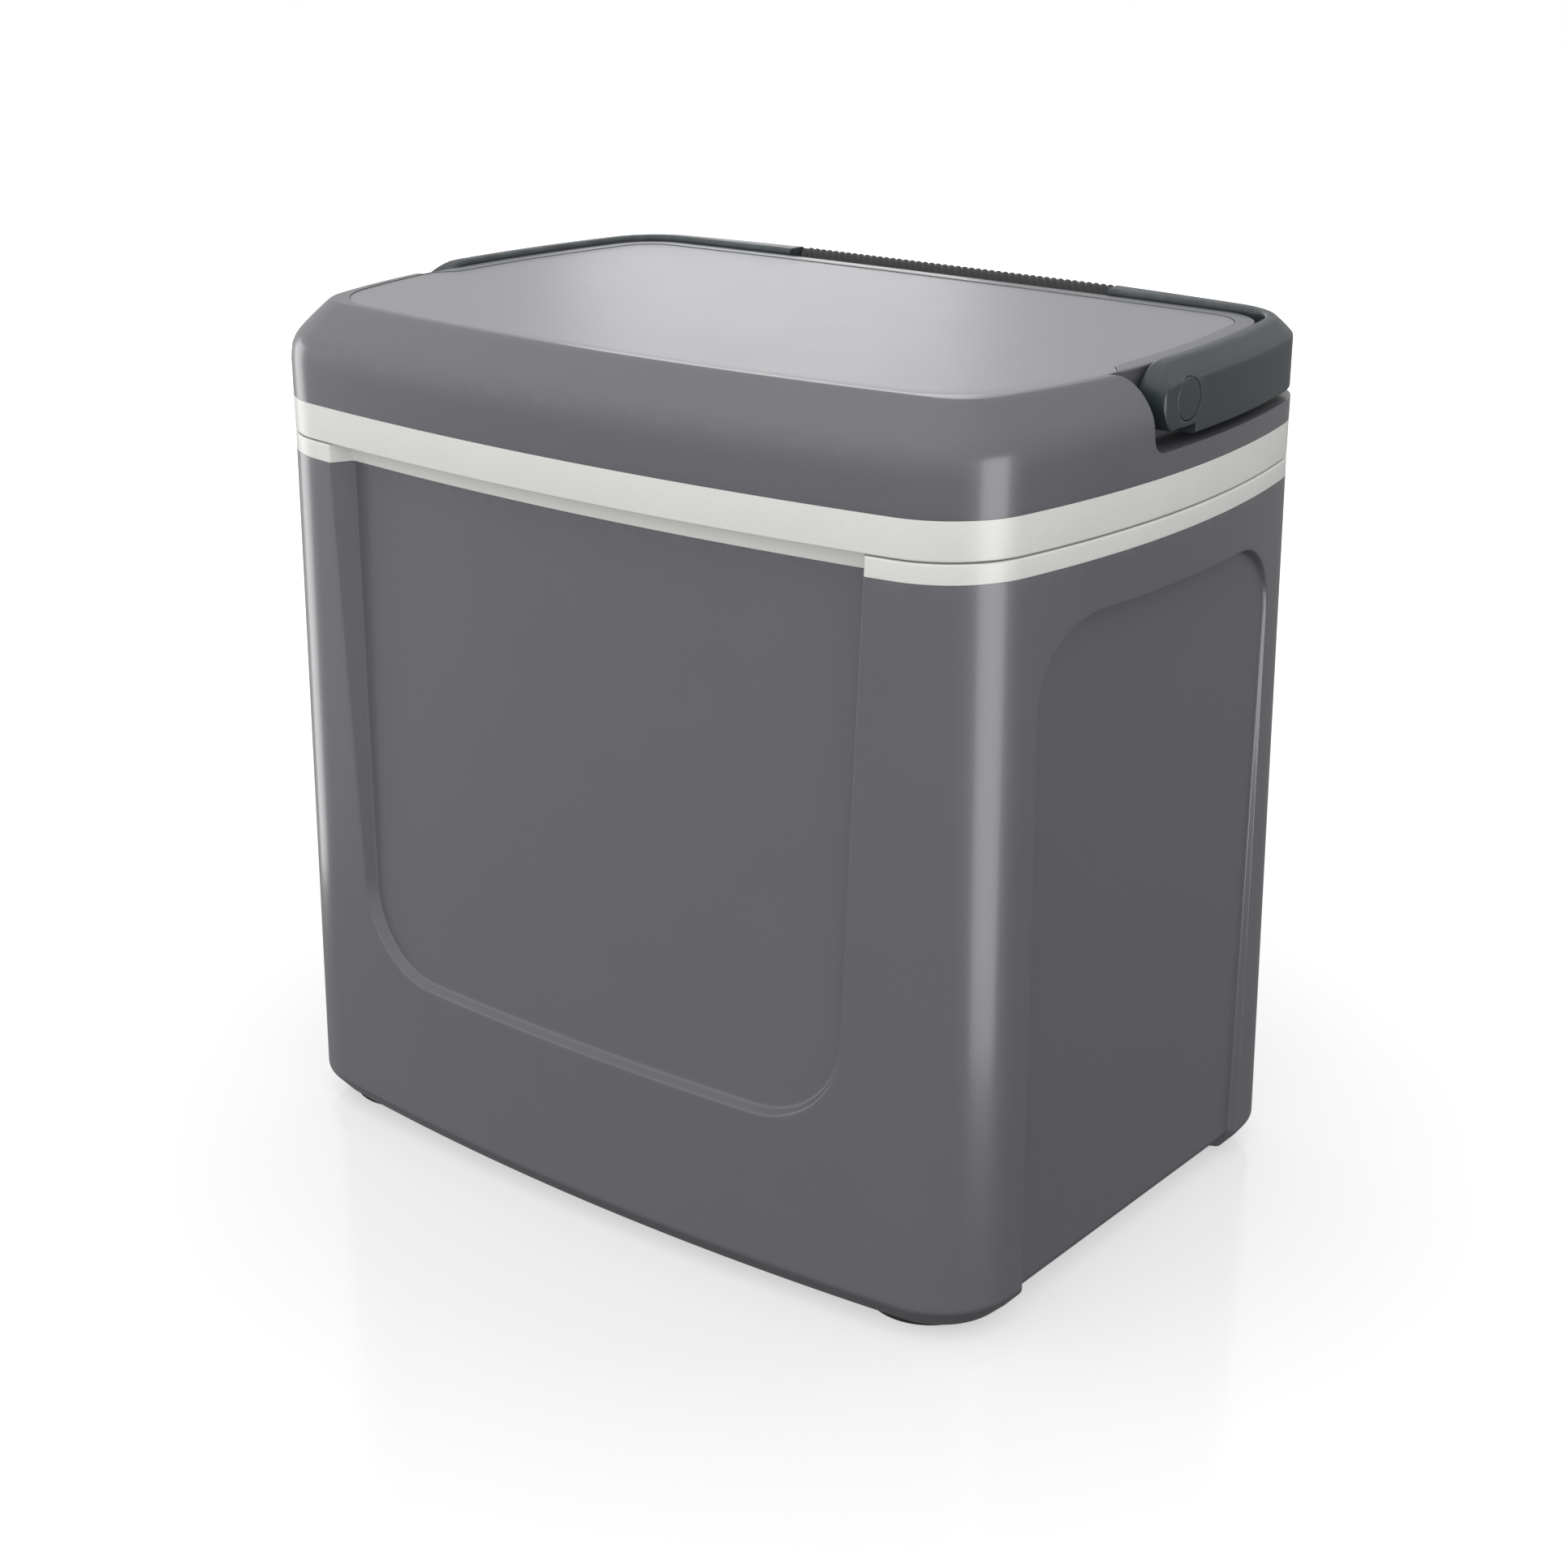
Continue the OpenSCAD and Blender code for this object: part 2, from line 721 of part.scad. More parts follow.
// Grip sleeve: an upright oval with the bar's core through it
module handle_grip() {
    r = (grip_y[1] - grip_y[0]) / 2;
    ends = [for (z = [grip_low + r, bail_top - r - 0.6]) [(grip_y[0] + grip_y[1]) / 2, z]];
    oval = concat(arc(ends[0], r, 180, 360, 16), arc(ends[1], r, 0, 180, 16));
    half = grip_len / 2 - 0.1;
    color(rubber_colour) difference() {
        along_x(-half, half) polygon(oval);
        block([-grip_len, core_y[0] - 0.1, core_z[0] - 0.1], [grip_len, core_y[1] + 0.1, core_z[1] + 0.1]);
    }
}

pin_tail_x = 195.6;

module pivot_pin() {
    difference() {
        union() {
            rod_x(lever_x + lever_half_t + 0.2, pin_head_x[0] + cut, pin_r, 0, pivot_z);
            rod_x(pin_head_x[0], pin_head_x[1], pin_head_r, 0, pivot_z);
            translate([pin_tail_x, -pin_key / 2, pivot_z - pin_key / 2])
                cube([lever_x + lever_half_t + 1 - pin_tail_x, pin_key, pin_key]);
        }
        rod_x(pin_tail_x - cut, pin_tail_x + 12, screw_hole_r, 0, pivot_z);
    }
}
module pivot_pin_left() { color(steel_colour) mirror([1, 0, 0]) pivot_pin(); }
module pivot_pin_right() { color(steel_colour) pivot_pin(); }

module pivot_cap() {
    rod_x(cap_x - cap_t + 0.05, cap_x, cap_r, 0, pivot_z);
}
module pivot_cap_left() { color(bail_colour) mirror([1, 0, 0]) pivot_cap(); }
module pivot_cap_right() { color(bail_colour) pivot_cap(); }

lever_hub_r = 9;
lever_w = 8;
lever_reach = 58.5;
toe_inner_r = 53;
toe_y = 12;

// Lever drawn hanging straight down, with its toe to the rear, then folded forwards
module lock_lever() {
    folded = -90;
    toe_outer = arc([0, 0], lever_reach, -90, -90 + asin(toe_y / lever_reach), 6);
    toe_inner = flip(arc([0, 0], toe_inner_r, -90, -90 + asin(toe_y / toe_inner_r), 6));
    translate([0, 0, pivot_z]) rotate([folded, 0, 0])
        along_x(lever_x - lever_half_t, lever_x + lever_half_t) difference() {
            union() {
                circle(r = lever_hub_r);
                polygon([[-lever_w / 2, 0], [-lever_w / 2, -lever_reach + 1], [-lever_w / 2 + 1.5, -lever_reach + 0.1],
                         [0.5, -lever_reach + 0.1], [lever_w / 2, -toe_inner_r], [lever_w / 2, 0]]);
                polygon(concat(toe_outer, toe_inner));
            }
            square([pin_key + 0.1, pin_key + 0.1], center = true);
        }
}
module lock_lever_left() { color(steel_colour) mirror([1, 0, 0]) lock_lever(); }
module lock_lever_right() { color(steel_colour) lock_lever(); }

module lever_screws() {
    color(steel_colour) both_sides() {
        rod_x(pin_tail_x - 1.6, pin_tail_x, 5.6, 0, pivot_z);
        rod_x(pin_tail_x - 1, pin_tail_x + 10, screw_r, 0, pivot_z);
    }
}

outer_shell();
inner_liner();
body_foam();
foot_front_left();
foot_front_right();
foot_rear_left();
foot_rear_right();
foot_screws();
hinge_body_leaf_left();
hinge_body_leaf_right();
hinge_pin_left();
hinge_pin_right();
hinge_body_screws();
keeper_plate_left();
keeper_plate_right();
keeper_screws();
lid_shell();
lid_top_panel();
lid_liner();
lid_foam();
lid_gasket();
hinge_lid_leaf_left();
hinge_lid_leaf_right();
hinge_lid_screws();
pivot_bush_left();
pivot_bush_right();
handle_bail();
handle_grip();
pivot_pin_left();
pivot_pin_right();
pivot_cap_left();
pivot_cap_right();
lock_lever_left();
lock_lever_right();
lever_screws();
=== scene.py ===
"""Hard cooler with a hinged lid and a folding bail handle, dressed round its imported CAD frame."""

import itertools
import logging
import math
from dataclasses import dataclass, field
from enum import Enum

import bmesh
import bpy
import numpy as np
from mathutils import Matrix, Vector


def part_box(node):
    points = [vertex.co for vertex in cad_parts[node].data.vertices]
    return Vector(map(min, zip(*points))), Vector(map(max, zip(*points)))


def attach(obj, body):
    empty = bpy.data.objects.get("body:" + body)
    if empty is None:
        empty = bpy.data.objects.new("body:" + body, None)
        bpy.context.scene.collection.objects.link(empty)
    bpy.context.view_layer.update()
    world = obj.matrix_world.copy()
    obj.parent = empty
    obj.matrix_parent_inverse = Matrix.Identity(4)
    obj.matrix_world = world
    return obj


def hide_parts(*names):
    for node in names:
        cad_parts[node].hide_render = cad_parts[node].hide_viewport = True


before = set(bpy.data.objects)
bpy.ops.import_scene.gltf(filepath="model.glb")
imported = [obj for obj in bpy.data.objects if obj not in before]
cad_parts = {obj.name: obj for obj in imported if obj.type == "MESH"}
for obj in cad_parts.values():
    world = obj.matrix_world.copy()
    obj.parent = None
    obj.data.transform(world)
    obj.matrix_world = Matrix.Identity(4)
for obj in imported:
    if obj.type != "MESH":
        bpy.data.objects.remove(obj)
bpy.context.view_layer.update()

MM = 0.001
CREASE = math.radians(38)
WELD = 0.02 * MM
WORN_FROM = math.radians(10)
WEAR = "edge_wear"
SIDES = (-1, 1)
Number = float | np.ndarray
Pair = tuple[float, float]
Triple = tuple[float, float, float]
log = logging.getLogger("cooler")


class Body(Enum):
    """The rigid bodies that pieces ride on."""

    COOLER = "cooler_body"
    LID = "lid"
    HANDLE = "handle"


class Slot(Enum):
    """The record's material slots."""

    SHELL = "shell_grey"
    PANEL = "panel_grey"
    CREAM = "cream_plastic"
    FOAM = "insulation"
    SLATE = "slate_plastic"
    RUBBER = "black_rubber"
    SEAL = "seal_rubber"
    STEEL = "steel"
    ACETAL = "acetal"


def box_mm(node: str) -> tuple[Vector, Vector]:
    """Corners of a CAD node's box.

    Args:
        node: Name of the node.

    Returns:
        Its lowest and highest corner in millimetres.
    """
    low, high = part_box(node)
    return low / MM, high / MM


# ---- Outlines and sections ----


@dataclass(frozen=True)
class Outline:
    """A rectangle with four bowed sides and round corners, in millimetres.

    Its fields are numbers, or arrays with one value for each column of a mesh.
    """

    half_w: Number
    half_d: Number
    front: Number
    side: Number
    corner: Number

    @staticmethod
    def bowed(half_w: float, half_d: float, front_rise: float, side_rise: float, corner: float) -> "Outline":
        """Outline from how far its front and sides bow out.

        Args:
            half_w: Half width over the bowed sides.
            half_d: Half depth over the bowed front.
            front_rise: Rise of the front bow.
            side_rise: Rise of the side bow.
            corner: Radius of the corners.

        Returns:
            The outline, with bow radii in place of rises.
        """
        return Outline(half_w, half_d, (half_w**2 + front_rise**2) / (2 * front_rise),
                       (half_d**2 + side_rise**2) / (2 * side_rise), corner)

    def inset(self, gap: Number) -> "Outline":
        """The same outline moved inwards by gap."""
        return Outline(self.half_w - gap, self.half_d - gap, self.front - gap, self.side - gap,
                       np.maximum(self.corner - gap, 4.0))

    def mix(self, other: "Outline", share: Number) -> "Outline":
        """Outline between this one and another.

        Args:
            other: The outline at share 1.
            share: How far to go towards it.

        Returns:
            The outline with blended widths, rises and corners.
        """
        def rises(o: "Outline") -> tuple[Number, ...]:
            """Widths, rises and corner radius of an outline."""
            return (o.half_w, o.half_d, o.front - np.sqrt(o.front**2 - o.half_w**2),
                    o.side - np.sqrt(o.side**2 - o.half_d**2), o.corner)

        return Outline.bowed(*(a + (b - a) * share for a, b in zip(rises(self), rises(other))))

    def depth_at(self, x: Number) -> Number:
        """Distance of the front bow from the middle plane at x."""
        return self.half_d - self.front + np.sqrt(self.front**2 - x**2)

    def width_at(self, y: Number) -> Number:
        """Distance of the side bow from the middle plane at y."""
        return self.half_w - self.side + np.sqrt(self.side**2 - y**2)

    def corner_centre(self) -> tuple[Number, Number]:
        """Centre of the round corner in the quarter where x and y are positive.

        Returns:
            Its x and y.
        """
        bx, by = 0.0, self.half_d - self.front
        sx, sy = self.half_w - self.side, 0.0
        rb, rs = self.front - self.corner, self.side - self.corner
        gap = np.hypot(sx - bx, sy - by)
        ux, uy = (sx - bx) / gap, (sy - by) / gap
        along = (rb**2 - rs**2 + gap**2) / (2 * gap)
        rise = np.sqrt(rb**2 - along**2)
        return bx + along * ux + rise * uy, by + along * uy - rise * ux

    def front_touch(self) -> Number:
        """X where the front bow meets the corner.

        Returns:
            Its distance from the middle plane.
        """
        cx, cy = self.corner_centre()
        by = self.half_d - self.front
        return cx / np.hypot(cx, cy - by) * self.front

    def side_touch(self) -> Number:
        """Y where the side bow meets the corner.

        Returns:
            Its distance from the middle plane.
        """
        cx, cy = self.corner_centre()
        sx = self.half_w - self.side
        return cy / np.hypot(cx - sx, cy) * self.side

    def corner_point(self, share: Number) -> tuple[Number, Number]:
        """Point on the round corner.

        Args:
            share: 0 at the front bow and 1 at the side bow.

        Returns:
            Its x and y, both positive.
        """
        cx, cy = self.corner_centre()
        start = np.arctan2(cy - self.half_d + self.front, cx)
        turn = start + (np.arctan2(cy, cx - self.half_w + self.side) - start) * share
        return cx + self.corner * np.cos(turn), cy + self.corner * np.sin(turn)

    def at(self, u: Number) -> tuple[Number, Number]:
        """Point a given way round the quarter.

        Args:
            u: 0 to 1 along the front bow, 1 to 2 round the corner, 2 to 3 along the side bow.

        Returns:
            Its x and y, both positive.
        """
        x_bow = self.front_touch() * np.clip(u, 0, 1)
        y_side = self.side_touch() * np.clip(3 - u, 0, 1)
        x_arc, y_arc = self.corner_point(np.clip(u - 1, 0, 1))
        x = np.where(u <= 1, x_bow, np.where(u < 2, x_arc, self.width_at(y_side)))
        y = np.where(u <= 1, self.depth_at(x_bow), np.where(u < 2, y_arc, y_side))
        return x, y


def rounded(corners: list[np.ndarray], reaches: list[Number], steps: int = 5) -> np.ndarray:
    """Lines through corner points, with the inner corners rounded.

    Args:
        corners: Corner points, each an array with one row for each column of the mesh.
        reaches: For each corner, how far the rounding reaches along both legs; 0 keeps one point.
        steps: Points on each rounding.

    Returns:
        Array of column, point and coordinate.
    """
    line = [corners[0]]
    for before, here, after, reach in zip(corners, corners[1:], corners[2:], reaches[1:-1]):
        if np.all(np.asarray(reach) == 0):
            line.append(here)
            continue
        to_a, to_b = before - here, after - here
        len_a = np.maximum(np.linalg.norm(to_a, axis=-1, keepdims=True), 1e-9)
        len_b = np.maximum(np.linalg.norm(to_b, axis=-1, keepdims=True), 1e-9)
        wide = np.broadcast_to(np.asarray(reach, float).reshape(-1, 1), len_a.shape)
        size = np.minimum(wide, 0.48 * np.minimum(len_a, len_b))
        start, end = here + to_a / len_a * size, here + to_b / len_b * size
        for t in np.linspace(0, 1, steps):
            line.append((1 - t) ** 2 * start + 2 * t * (1 - t) * here + t * t * end)
    line.append(corners[-1])
    return np.stack(line, axis=1)


def points(x: Number, y: Number, z: Number) -> np.ndarray:
    """Array of points from coordinates that may be numbers or arrays."""
    return np.stack(np.broadcast_arrays(np.asarray(x, float), y, z), axis=-1)


def smooth_through(knots: list[Pair], where: Number) -> Number:
    """Smooth monotone curve through knots.

    Args:
        knots: Places and values, with the places rising.
        where: Places asked for.

    Returns:
        Values of the curve there.
    """
    k = np.array(knots)
    slope = np.diff(k[:, 1]) / np.diff(k[:, 0])
    tangent = np.zeros(len(k))
    inner = slope[:-1] * slope[1:] > 0
    tangent[1:-1][inner] = 2 * slope[:-1][inner] * slope[1:][inner] / (slope[:-1] + slope[1:])[inner]
    tangent[0], tangent[-1] = slope[0], slope[-1]
    place = np.clip(where, k[0, 0], k[-1, 0])
    i = np.clip(np.searchsorted(k[:, 0], place, side="right") - 1, 0, len(k) - 2)
    h = k[i + 1, 0] - k[i, 0]
    t = (place - k[i, 0]) / h
    return ((2 * t**3 - 3 * t**2 + 1) * k[i, 1] + (t**3 - 2 * t**2 + t) * h * tangent[i]
            + (3 * t**2 - 2 * t**3) * k[i + 1, 1] + (t**3 - t**2) * h * tangent[i + 1])


def ease(x: Number) -> Number:
    """Smooth step from 0 to 1."""
    t = np.clip(x, 0, 1)
    return t * t * (3 - 2 * t)


def on_side(side: int, span: Pair) -> Pair:
    """A stretch of X on one side of the cooler.

    Args:
        side: 1 for the right side, -1 for the left.
        span: Lowest and highest X on the right side.

    Returns:
        Lowest and highest X on that side.
    """
    low, high = sorted((side * span[0], side * span[1]))
    return low, high


# The widest outline, which the body's rim, the lid and the handle share
RIM = Outline.bowed(225.0, 156.5, 18.7, 23.9, 46.7)
# The storage space at its mouth and at its floor
STORE = Outline.bowed(187.0, 119.0, 12.0, 14.0, 34.0)
STORE_LOW = Outline.bowed(182.0, 114.0, 11.0, 12.0, 32.0)
# The slots that the lock levers swing in, on the right side
SLOT_X: Pair = (195.0, 203.0)
SLOT_Y: Pair = (-38.5, 15.0)


# ---- Meshes ----


class Patchwork:
    """Grids of points that are welded into one mesh."""

    def __init__(self) -> None:
        """Starts with nothing."""
        self._points: list[np.ndarray] = []
        self._faces: list[np.ndarray] = []
        self._count = 0

    def add(self, grid: np.ndarray, mirror: str = "") -> None:
        """Adds a grid of quads, and its mirror images.

        Args:
            grid: Array of row, column and coordinate, in millimetres.
            mirror: The axes to mirror across, such as "xy".
        """
        signs = [(1, -1) if axis in mirror else (1,) for axis in "xyz"]
        rows, cols = grid.shape[:2]
        for sign in itertools.product(*signs):
            index = self._count + np.arange(rows * cols).reshape(rows, cols)
            self._points.append((grid * np.array(sign)).reshape(-1, 3))
            quads = np.stack([index[:-1, :-1], index[1:, :-1], index[1:, 1:], index[:-1, 1:]], axis=-1)
            self._faces.append(quads.reshape(-1, 4))
            self._count += rows * cols

    def build(self, name: str, crease: float = CREASE) -> bpy.types.Object:
        """Welds the grids into an object.

        Args:
            name: Name of the piece.
            crease: Angle past which an edge is shaded sharp.

        Returns:
            The object, at the origin, with its place in its mesh.
        """
        mesh = bpy.data.meshes.new(name)
        mesh.from_pydata(np.concatenate(self._points) * MM, [], np.concatenate(self._faces).tolist())
        piece = bpy.data.objects.new(name, mesh)
        bpy.context.scene.collection.objects.link(piece)
        settle(piece, crease)
        return piece


def settle(piece: bpy.types.Object, crease: float = CREASE) -> None:
    """Welds a mesh, turns its faces outwards, shades it smooth and notes its worn edges.

    Args:
        piece: The mesh object.
        crease: Angle past which an edge is shaded sharp.
    """
    work = bmesh.new()
    work.from_mesh(piece.data)
    bmesh.ops.remove_doubles(work, verts=work.verts, dist=WELD)
    bmesh.ops.dissolve_degenerate(work, edges=work.edges, dist=WELD / 10)
    bmesh.ops.recalc_face_normals(work, faces=work.faces)
    wear = []
    for vert in work.verts:
        bends = [e.calc_face_angle_signed(0.0) for e in vert.link_edges if len(e.link_faces) == 2]
        wear.append(min(max((max(bends, default=0.0) - WORN_FROM) / WORN_FROM, 0.0), 1.0))
    for face in work.faces:
        face.smooth = True
    work.to_mesh(piece.data)
    work.free()
    if WEAR in piece.data.attributes:
        piece.data.attributes.remove(piece.data.attributes[WEAR])
    layer = piece.data.attributes.new(WEAR, "FLOAT", "POINT")
    layer.data.foreach_set("value", wear)
    piece.data.set_sharp_from_angle(angle=crease)


def lathe(name: str, profile: list[Pair], reaches: list[float], centre: Triple, axis: str = "z",
          turns: int = 96) -> bpy.types.Object:
    """Solid of revolution with rounded profile corners.

    Args:
        name: Name of the piece.
        profile: Radius and height of each corner, from pole to pole.
        reaches: Rounding of each corner.
        centre: Place of the profile's origin.
        axis: "z" for an upright axis, "x" for one along X.
        turns: Steps round the axis.

    Returns:
        The object.
    """
    line = rounded([np.array([p]) for p in profile], reaches, 6)[0]
    turn = np.linspace(0, 2 * math.pi, turns + 1)
    radius, height = line[:, 0][:, None], line[:, 1][:, None] + 0 * turn
    a, b = radius * np.cos(turn), radius * np.sin(turn)
    grid = points(a, b, height) if axis == "z" else points(height, a, b)
    work = Patchwork()
    work.add(grid + np.array(centre))
    return work.build(name)


def block(low: Triple, high: Triple) -> np.ndarray:
    """Corners of a box as two rings of four, for a cutter.

    Args:
        low: Lowest corner.
        high: Highest corner.

    Returns:
        Array of ring, corner and coordinate.
    """
    (x0, y0, z0), (x1, y1, z1) = low, high
    ring = [(x0, y0), (x1, y0), (x1, y1), (x0, y1), (x0, y0)]
    rings = [[((x0 + x1) / 2, (y0 + y1) / 2, z0)] * 5, [(x, y, z0) for x, y in ring],
             [(x, y, z1) for x, y in ring], [((x0 + x1) / 2, (y0 + y1) / 2, z1)] * 5]
    return np.array(rings)


def combine(piece: bpy.types.Object, tool: bpy.types.Object, how: str) -> None:
    """Cuts or joins a piece with a tool shape and removes the tool.

    Args:
        piece: The mesh to change.
        tool: The shape to cut away or join.
        how: "DIFFERENCE" or "UNION".
    """
    step = piece.modifiers.new("shape", "BOOLEAN")
    step.object, step.operation, step.solver = tool, how, "EXACT"
    bake_modifiers(piece)
    bpy.data.objects.remove(tool)
    settle(piece)


def carve(piece: bpy.types.Object, how: str, x: Pair, y: Pair, z: Pair) -> None:
    """Cuts a box out of a piece, or joins one to it.

    Args:
        piece: The mesh to change.
        how: "DIFFERENCE" or "UNION".
        x: Lowest and highest X of the box.
        y: Lowest and highest Y.
        z: Lowest and highest Z.
    """
    tool = Patchwork()
    tool.add(block((x[0], y[0], z[0]), (x[1], y[1], z[1])))
    combine(piece, tool.build("tool"), how)


def bake_modifiers(piece: bpy.types.Object) -> None:
    """Turns what the modifiers make into the piece's own mesh.

    Args:
        piece: The object to change.
    """
    graph = bpy.context.evaluated_depsgraph_get()
    graph.update()
    made = bpy.data.meshes.new_from_object(piece.evaluated_get(graph))
    piece.modifiers.clear()
    piece.data = made


# ---- Finishes ----


@dataclass(frozen=True)
class Moulded:
    """A moulded plastic, rubber or foam with grain, mottling and worn edges."""

    slot: Slot
    colour: Triple
    roughness: float
    grain_mm: float = 0.35
    grain_depth: float = 0.12
    grain_detail: float = 3.0
    mottle: float = 0.012
    rough_spread: float = 0.025
    wear: float = 0.25
    worn_colour: Triple = (0.30, 0.30, 0.31)
    specular: float = 0.5
    coat: float = 0.0
    coat_roughness: float = 0.25
    pebbled: bool = False

    def material(self) -> bpy.types.Material:
        """Builds the node tree.

        Returns:
            The material, named after its slot.
        """
        mat = bpy.data.materials.new(self.slot.value)
        mat.use_nodes = True
        net = Net(mat.node_tree)
        where = net.add("ShaderNodeTexCoord").outputs["Object"]
        skin = net.shader
        skin.inputs["Specular IOR Level"].default_value = self.specular
        skin.inputs["Coat Weight"].default_value = self.coat
        skin.inputs["Coat Roughness"].default_value = self.coat_roughness
        cloud = net.noise(where, 1 / (38 * MM), 3.0)
        fine = net.noise(where, 1 / (self.grain_mm * MM), self.grain_detail)
        dark = tuple(c * (1 - self.mottle) for c in self.colour)
        light = tuple(c * (1 + self.mottle) for c in self.colour)
        tone = net.blend(net.spread(cloud, 0.3, 0.7), dark, light)
        speckle = net.blend(net.spread(fine, 0.35, 0.65), (0.94,) * 3, (1.05,) * 3)
        tone = net.multiply(tone, speckle)
        rub = net.noise(where, 1 / (9 * MM), 4.0)
        edge = net.maths("MULTIPLY", net.add_attribute(WEAR), net.spread(rub, 0.42, 0.62))
        edge = net.maths("MULTIPLY", edge, self.wear)
        net.link(net.blend(edge, tone, self.worn_colour), skin.inputs["Base Color"])
        low, high = self.roughness - self.rough_spread, self.roughness + self.rough_spread
        rough = net.spread(net.maths("ADD", net.maths("MULTIPLY", cloud, 0.5), net.maths("MULTIPLY", fine, 0.5)),
                           0.3, 0.7, low, high)
        net.link(rough, skin.inputs["Roughness"])
        height = fine
        if self.pebbled:
            cells = net.add("ShaderNodeTexVoronoi")
            cells.feature = "SMOOTH_F1"
            cells.inputs["Scale"].default_value = 1 / (1.1 * MM)
            cells.inputs["Smoothness"].default_value = 0.7
            net.link(where, cells.inputs["Vector"])
            height = net.maths("ADD", net.maths("MULTIPLY", fine, 0.4), cells.outputs["Distance"])
        bump = net.add("ShaderNodeBump")
        bump.inputs["Strength"].default_value = self.grain_depth
        bump.inputs["Distance"].default_value = 0.25 * MM
        net.link(height, bump.inputs["Height"])
        net.link(bump.outputs["Normal"], skin.inputs["Normal"])
        return mat


@dataclass(frozen=True)
class Brushed:
    """Brushed steel with fine streaks along X and dull patches."""

    slot: Slot
    colour: Triple = (0.60, 0.61, 0.63)
    roughness: float = 0.32
    streak_mm: float = 0.18

    def material(self) -> bpy.types.Material:
        """Builds the node tree.

        Returns:
            The material, named after its slot.
        """
        mat = bpy.data.materials.new(self.slot.value)
        mat.use_nodes = True
        net = Net(mat.node_tree)
        skin = net.shader
        skin.inputs["Metallic"].default_value = 1.0
        where = net.add("ShaderNodeTexCoord").outputs["Object"]
        stretch = net.add("ShaderNodeMapping")
        stretch.inputs["Scale"].default_value = (0.03, 1.0, 1.0)
        net.link(where, stretch.inputs["Vector"])
        streak = net.noise(stretch.outputs["Vector"], 1 / (self.streak_mm * MM), 4.0)
        patch = net.noise(where, 1 / (12 * MM), 3.0)
        dull = tuple(c * 0.8 for c in self.colour)
        net.link(net.blend(net.spread(patch, 0.35, 0.65), dull, self.colour), skin.inputs["Base Color"])
        both = net.maths("ADD", net.maths("MULTIPLY", streak, 0.6), net.maths("MULTIPLY", patch, 0.4))
        net.link(net.spread(both, 0.3, 0.7, self.roughness - 0.08, self.roughness + 0.1), skin.inputs["Roughness"])
        bump = net.add("ShaderNodeBump")
        bump.inputs["Strength"].default_value = 0.12
        bump.inputs["Distance"].default_value = 0.05 * MM
        net.link(streak, bump.inputs["Height"])
        net.link(bump.outputs["Normal"], skin.inputs["Normal"])
        return mat


class Net:
    """A shader node tree with short ways to add to it."""

    def __init__(self, tree: bpy.types.NodeTree) -> None:
        """Takes a material's tree with its shader in place."""
        self.tree = tree
        self.shader = tree.nodes["Principled BSDF"]

    def add(self, kind: str) -> bpy.types.Node:
        """Adds a node of a kind."""
        return self.tree.nodes.new(kind)

    def link(self, source: bpy.types.NodeSocket, target: bpy.types.NodeSocket) -> None:
        """Joins two sockets."""
        self.tree.links.new(source, target)

    def _feed(self, value: object, target: bpy.types.NodeSocket) -> None:
        """Sets a socket from a socket, a number or a colour.

        Args:
            value: What the socket gets.
            target: The socket.
        """
        if isinstance(value, bpy.types.NodeSocket):
            self.link(value, target)
        elif isinstance(value, tuple):
            target.default_value = (*value, 1.0)
        else:
            target.default_value = value

    def add_attribute(self, name: str) -> bpy.types.NodeSocket:
        """Reads a number that the mesh carries.

        Args:
            name: The attribute's name.

        Returns:
            Its value.
        """
        node = self.add("ShaderNodeAttribute")
        node.attribute_name = name
        return node.outputs["Fac"]

    def noise(self, where: bpy.types.NodeSocket, scale: float, detail: float) -> bpy.types.NodeSocket:
        """Soft noise.

        Args:
            where: Coordinates.
            scale: Cells to a metre.
            detail: Octaves.

        Returns:
            The noise, from 0 to 1.
        """
        node = self.add("ShaderNodeTexNoise")
        node.inputs["Scale"].default_value = scale
        node.inputs["Detail"].default_value = detail
        self.link(where, node.inputs["Vector"])
        return node.outputs["Fac"]

    def maths(self, how: str, a: object, b: object) -> bpy.types.NodeSocket:
        """Sum or product of two values.

        Args:
            how: Name of the operation.
            a: First socket or number.
            b: Second socket or number.

        Returns:
            The result.
        """
        node = self.add("ShaderNodeMath")
        node.operation = how
        self._feed(a, node.inputs[0])
        self._feed(b, node.inputs[1])
        return node.outputs[0]

    def spread(self, value: bpy.types.NodeSocket, low: float, high: float, to_low: float = 0.0,
               to_high: float = 1.0) -> bpy.types.NodeSocket:
        """Stretches a range of a value to another range.

        Args:
            value: What is stretched.
            low: Start of its range.
            high: End of its range.
            to_low: Result at the start.
            to_high: Result at the end.

        Returns:
            The stretched value, held between its ends.
        """
        node = self.add("ShaderNodeMapRange")
        self.link(value, node.inputs["Value"])
        for key, number in zip(("From Min", "From Max", "To Min", "To Max"), (low, high, to_low, to_high)):
            node.inputs[key].default_value = number
        return node.outputs["Result"]

    def _mix(self, how: str, share: object, a: object, b: object) -> bpy.types.NodeSocket:
        """Mixes two colours in the way that how names.

        Args:
            how: Name of the blend.
            share: Part of the second colour.
            a: First colour.
            b: Second colour.

        Returns:
            The mixed colour.
        """
        node = self.add("ShaderNodeMix")
        node.data_type, node.blend_type = "RGBA", how
        self._feed(share, node.inputs[0])
        self._feed(a, node.inputs[6])
        self._feed(b, node.inputs[7])
        return node.outputs[2]

    def blend(self, share: object, a: object, b: object) -> bpy.types.NodeSocket:
        """Colour between a and b."""
        return self._mix("MIX", share, a, b)

    def multiply(self, a: object, b: object) -> bpy.types.NodeSocket:
        """Product of two colours."""
        return self._mix("MULTIPLY", 1.0, a, b)


